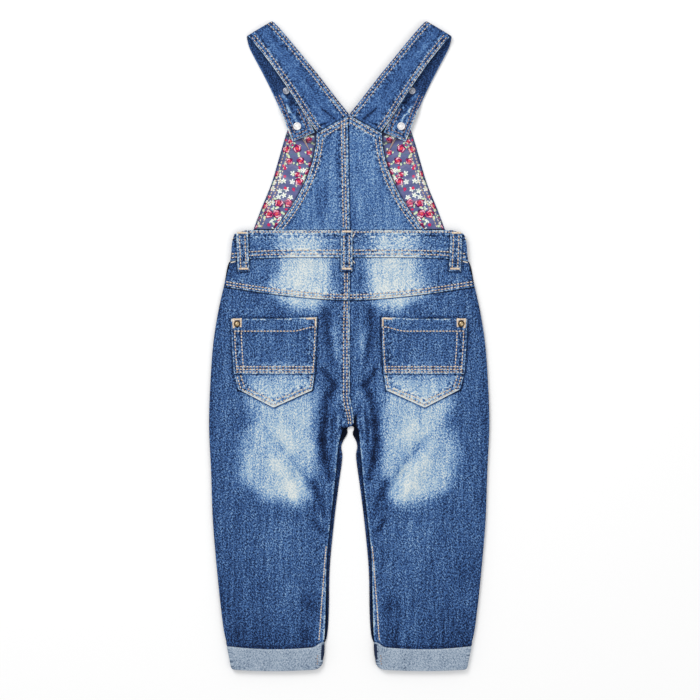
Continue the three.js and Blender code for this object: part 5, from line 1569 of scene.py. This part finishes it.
def sewInseams():
    for side in (-1, 1):
        ys = np.linspace(-200, -296, 60)
        xs = backInseamX(ys) + inseamRow(ys)
        sew(np.stack([side * xs, ys], axis=-1), lambda x, y: legHigh(x, y, 1) - 0.1, pitch=2.7)


def sewLining():
    for side in (-1, 1):
        for offset in (2.6, 6.4):
            ys = np.linspace(117.5, 206, 60)
            xs = bibSideX(ys) - 1 - offset
            sew(np.stack([side * xs, ys], axis=-1),
                lambda x, y: np.full_like(x, garment["denim"] + garment["gap"] + garment["lining"] + 0.05))


def makeStitches():
    sewSeams()
    sewPockets()
    sewLoops()
    sewStraps()
    sewInseams()
    sewLining()
    size = {key: value * 0.001 for key, value in stitching.items()}
    for key, material, share in (("tan", "thread", 1.08), ("strap", "thread", 0.84), ("dim", "dimThread", 0.9)):
        starts, ends, ups = zip(*sewn[key])
        threads(f"{key}Thread", starts, ends, ups, size["width"] * share, size["height"], finish[material])
        print("stitches", key, len(starts))
    # loose ends of thread on the lining, and cream ends by the belt loops
    flat = garment["denim"] + garment["gap"] + garment["lining"]
    loose, ends = [], []
    for side in (-1, 1):
        for (x1, y1), (x2, y2) in (((46.8, 207), (38.2, 192.4)), ((44.6, 205.5), (39.4, 194.0))):
            loose.append((toMetres(np.array(side * x1), np.array(y1), flat + 0.5),
                          toMetres(np.array(side * x2), np.array(y2), flat + 0.5), up))
        for x1, y1, x2, y2 in ((118.4, 82.5, 113.2, 84), (117.6, 105.6, 115.4, 107.4)):
            ends.append(creamEnd(side * x1, y1, side * x2, y2, lambda x, y: (yokeHigh(x, y, side) if y1 < 90 else bandHigh(x, y))))
    ends.append(creamEnd(3.0, 107.5, 5.4, 111.8, bandHigh))
    ends.append(creamEnd(3.4, 85.0, 5.7, 82.0, lambda x, y: yokeHigh(x, y, 1)))
    threads("looseThread", *zip(*loose), 0.00042, 0.0004, finish["dimThread"])
    threads("creamThread", *zip(*ends), 0.00065, 0.0005, finish["paleThread"])


def creamEnd(x1, y1, x2, y2, height):
    x1, y1, x2, y2 = (np.array(float(v)) for v in (x1, y1, x2, y2))
    return toMetres(x1, y1, height(x1, y1) + 0.3), toMetres(x2, y2, height(x2, y2) + 0.3), up


# Snaps and rivets
def turned(name, centre, profile, material, node, sides=48):
    # a turned piece standing on centre, from (radius, height) pairs
    turns = np.linspace(0, 2 * math.pi, sides, endpoint=False)
    points = []
    for radius, height in profile:
        for turn in turns:
            points.append((radius * math.cos(turn), radius * math.sin(turn), height))
    points = np.array(points) * 0.001 + np.array(centre)
    faces = []
    for i in range(len(profile) - 1):
        for k in range(sides):
            m = (k + 1) % sides
            faces.append((i * sides + k, i * sides + m, (i + 1) * sides + m, (i + 1) * sides + k))
    last = (len(profile) - 1) * sides
    faces.append(tuple(range(sides))[::-1])
    faces.append(tuple(range(last, last + sides)))
    uv = points[:, :2]
    piece = meshFrom(name, points, faces, uv, np.ones((len(points), 4)), material)
    if node:
        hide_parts(node)
    return piece


def makeSnaps():
    for word, side in (("left", -1), ("right", 1)):
        for number, radius in ((1, 4.0), (2, 3.5)):
            node = f"snap_{number}_{word}"
            low, high = (np.array(v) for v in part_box(node))
            centre = ((low[0] + high[0]) / 2, (low[1] + high[1]) / 2, low[2])
            k = radius / 4.0
            profile = [(3.3 * k, 0), (3.9 * k, 0.1), (4.0 * k, 0.5), (3.85 * k, 0.95), (3.5 * k, 1.2), (3.1 * k, 1.25),
                       (2.75 * k, 1.1), (2.6 * k, 0.7), (2.4 * k, 0.42), (2.15 * k, 0.42), (1.95 * k, 0.66), (1.2 * k, 0.76),
                       (0.5 * k, 0.8), (0.05, 0.8)]
            metal = finish["snapDull"] if number == 2 else finish["snap"]
            turned(f"snapCap_{number}_{word}", centre, profile, metal, node)
        node = f"rivet_{word}"
        low, high = (np.array(v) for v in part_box(node))
        centre = ((low[0] + high[0]) / 2, (low[1] + high[1]) / 2, low[2] - 0.0003)
        profile = [(3.0, 0), (3.3, 0.12), (3.3, 0.45), (3.05, 0.72), (2.6, 0.80), (2.35, 0.66), (1.0, 0.6), (0.04, 0.6)]
        turned(f"rivetRim_{word}", centre, profile, finish["rim"], node)
        profile = [(2.1, 0.62), (2.2, 0.72), (2.1, 0.95), (1.75, 1.22), (1.3, 1.42), (0.8, 1.58), (0.3, 1.66), (0.04, 1.67)]
        turned(f"rivetDome_{word}", centre, profile, finish["brass"], None)


# Make everything
for word, side in (("left", -1), ("right", 1)):
    makeFrontLeg(word, side)
    makeLeg(word, side)
    makeCuff(word, side)
    makeYoke(word, side)
    makeBib(word, side)
    makeStrap(word, side)
    makePocket(word, side)
    print("cloth of the", word, "side made")
makeBand("frontWaistband", "waistband_front", False)
makeBand("backWaistband", "waistband_back", True)
makeFrontBib("frontBib", "front_bib", 0.0, 0.0, garment["denim"], finish["front"], False)
makeFrontBib("frontBibLining", "front_bib_lining", 1.0, garment["denim"] + garment["gap"], garment["lining"],
             finish["print"], True)
for word, middle in beltLoop["centres"].items():
    makeLoop(word, middle)
print("bands, front bib and loops made")
makeStitches()
makeSnaps()
print("stitches, snaps and rivets made")

# Floor, light and camera
studio = {"distance": 2.40, "lens": 120.0, "frame": 0.700, "centreX": 0.0008, "centreY": -0.0045 + drawingShift * 0.001,
          "key": 20.0, "fill": 8.0, "world": 0.70}
bpy.ops.mesh.primitive_plane_add(size=6, location=(0, 0, -0.0004))
floor = bpy.context.object
floor.name = "tableTop"
floorMaterial, floorTree, floorShader = newMaterial("white table", 0.7, specular=0.1)
soft = addNode(floorTree, "TexNoise", {"Scale": 3.0, "Detail": 1.0})
floorTree.links.new(blend(floorTree, soft.outputs["Fac"], (0.90, 0.90, 0.90, 1), (0.915, 0.915, 0.915, 1)),
                    floorShader.inputs["Base Color"])
floor.data.materials.append(floorMaterial)

world = bpy.data.worlds.new("studio")
bpy.context.scene.world = world
world.use_nodes = True
world.node_tree.nodes["Background"].inputs["Color"].default_value = (1, 1, 1, 1)
world.node_tree.nodes["Background"].inputs["Strength"].default_value = studio["world"]


def softbox(name, place, size, power):
    data = bpy.data.lights.new(name, "AREA")
    data.shape = "SQUARE"
    data.size = size
    data.energy = power
    light = bpy.data.objects.new(name, data)
    light.location = place
    bpy.context.scene.collection.objects.link(light)
    target = np.array([0.0, 0.0, 0.0]) - np.array(place)
    from mathutils import Vector
    light.rotation_euler = Vector(target).to_track_quat("-Z", "Y").to_euler()


softbox("keySoftbox", (-0.75, 1.15, 1.55), 0.9, studio["key"])
softbox("fillSoftbox", (0.9, -0.6, 1.9), 1.6, studio["fill"])

camera = bpy.data.cameras.new("camera")
camera.lens = studio["lens"]
camera.sensor_width = 36.0
distance = studio["frame"] / 2 / (18.0 / studio["lens"])
view = bpy.data.objects.new("camera", camera)
view.location = (studio["centreX"], studio["centreY"], distance)
view.rotation_euler = (0, 0, 0)
camera.clip_start, camera.clip_end = 0.1, 20
bpy.context.scene.collection.objects.link(view)
bpy.context.scene.camera = view
bpy.context.scene.view_settings.view_transform = "Standard"
bpy.context.scene.view_settings.look = "None"
print("stage set")
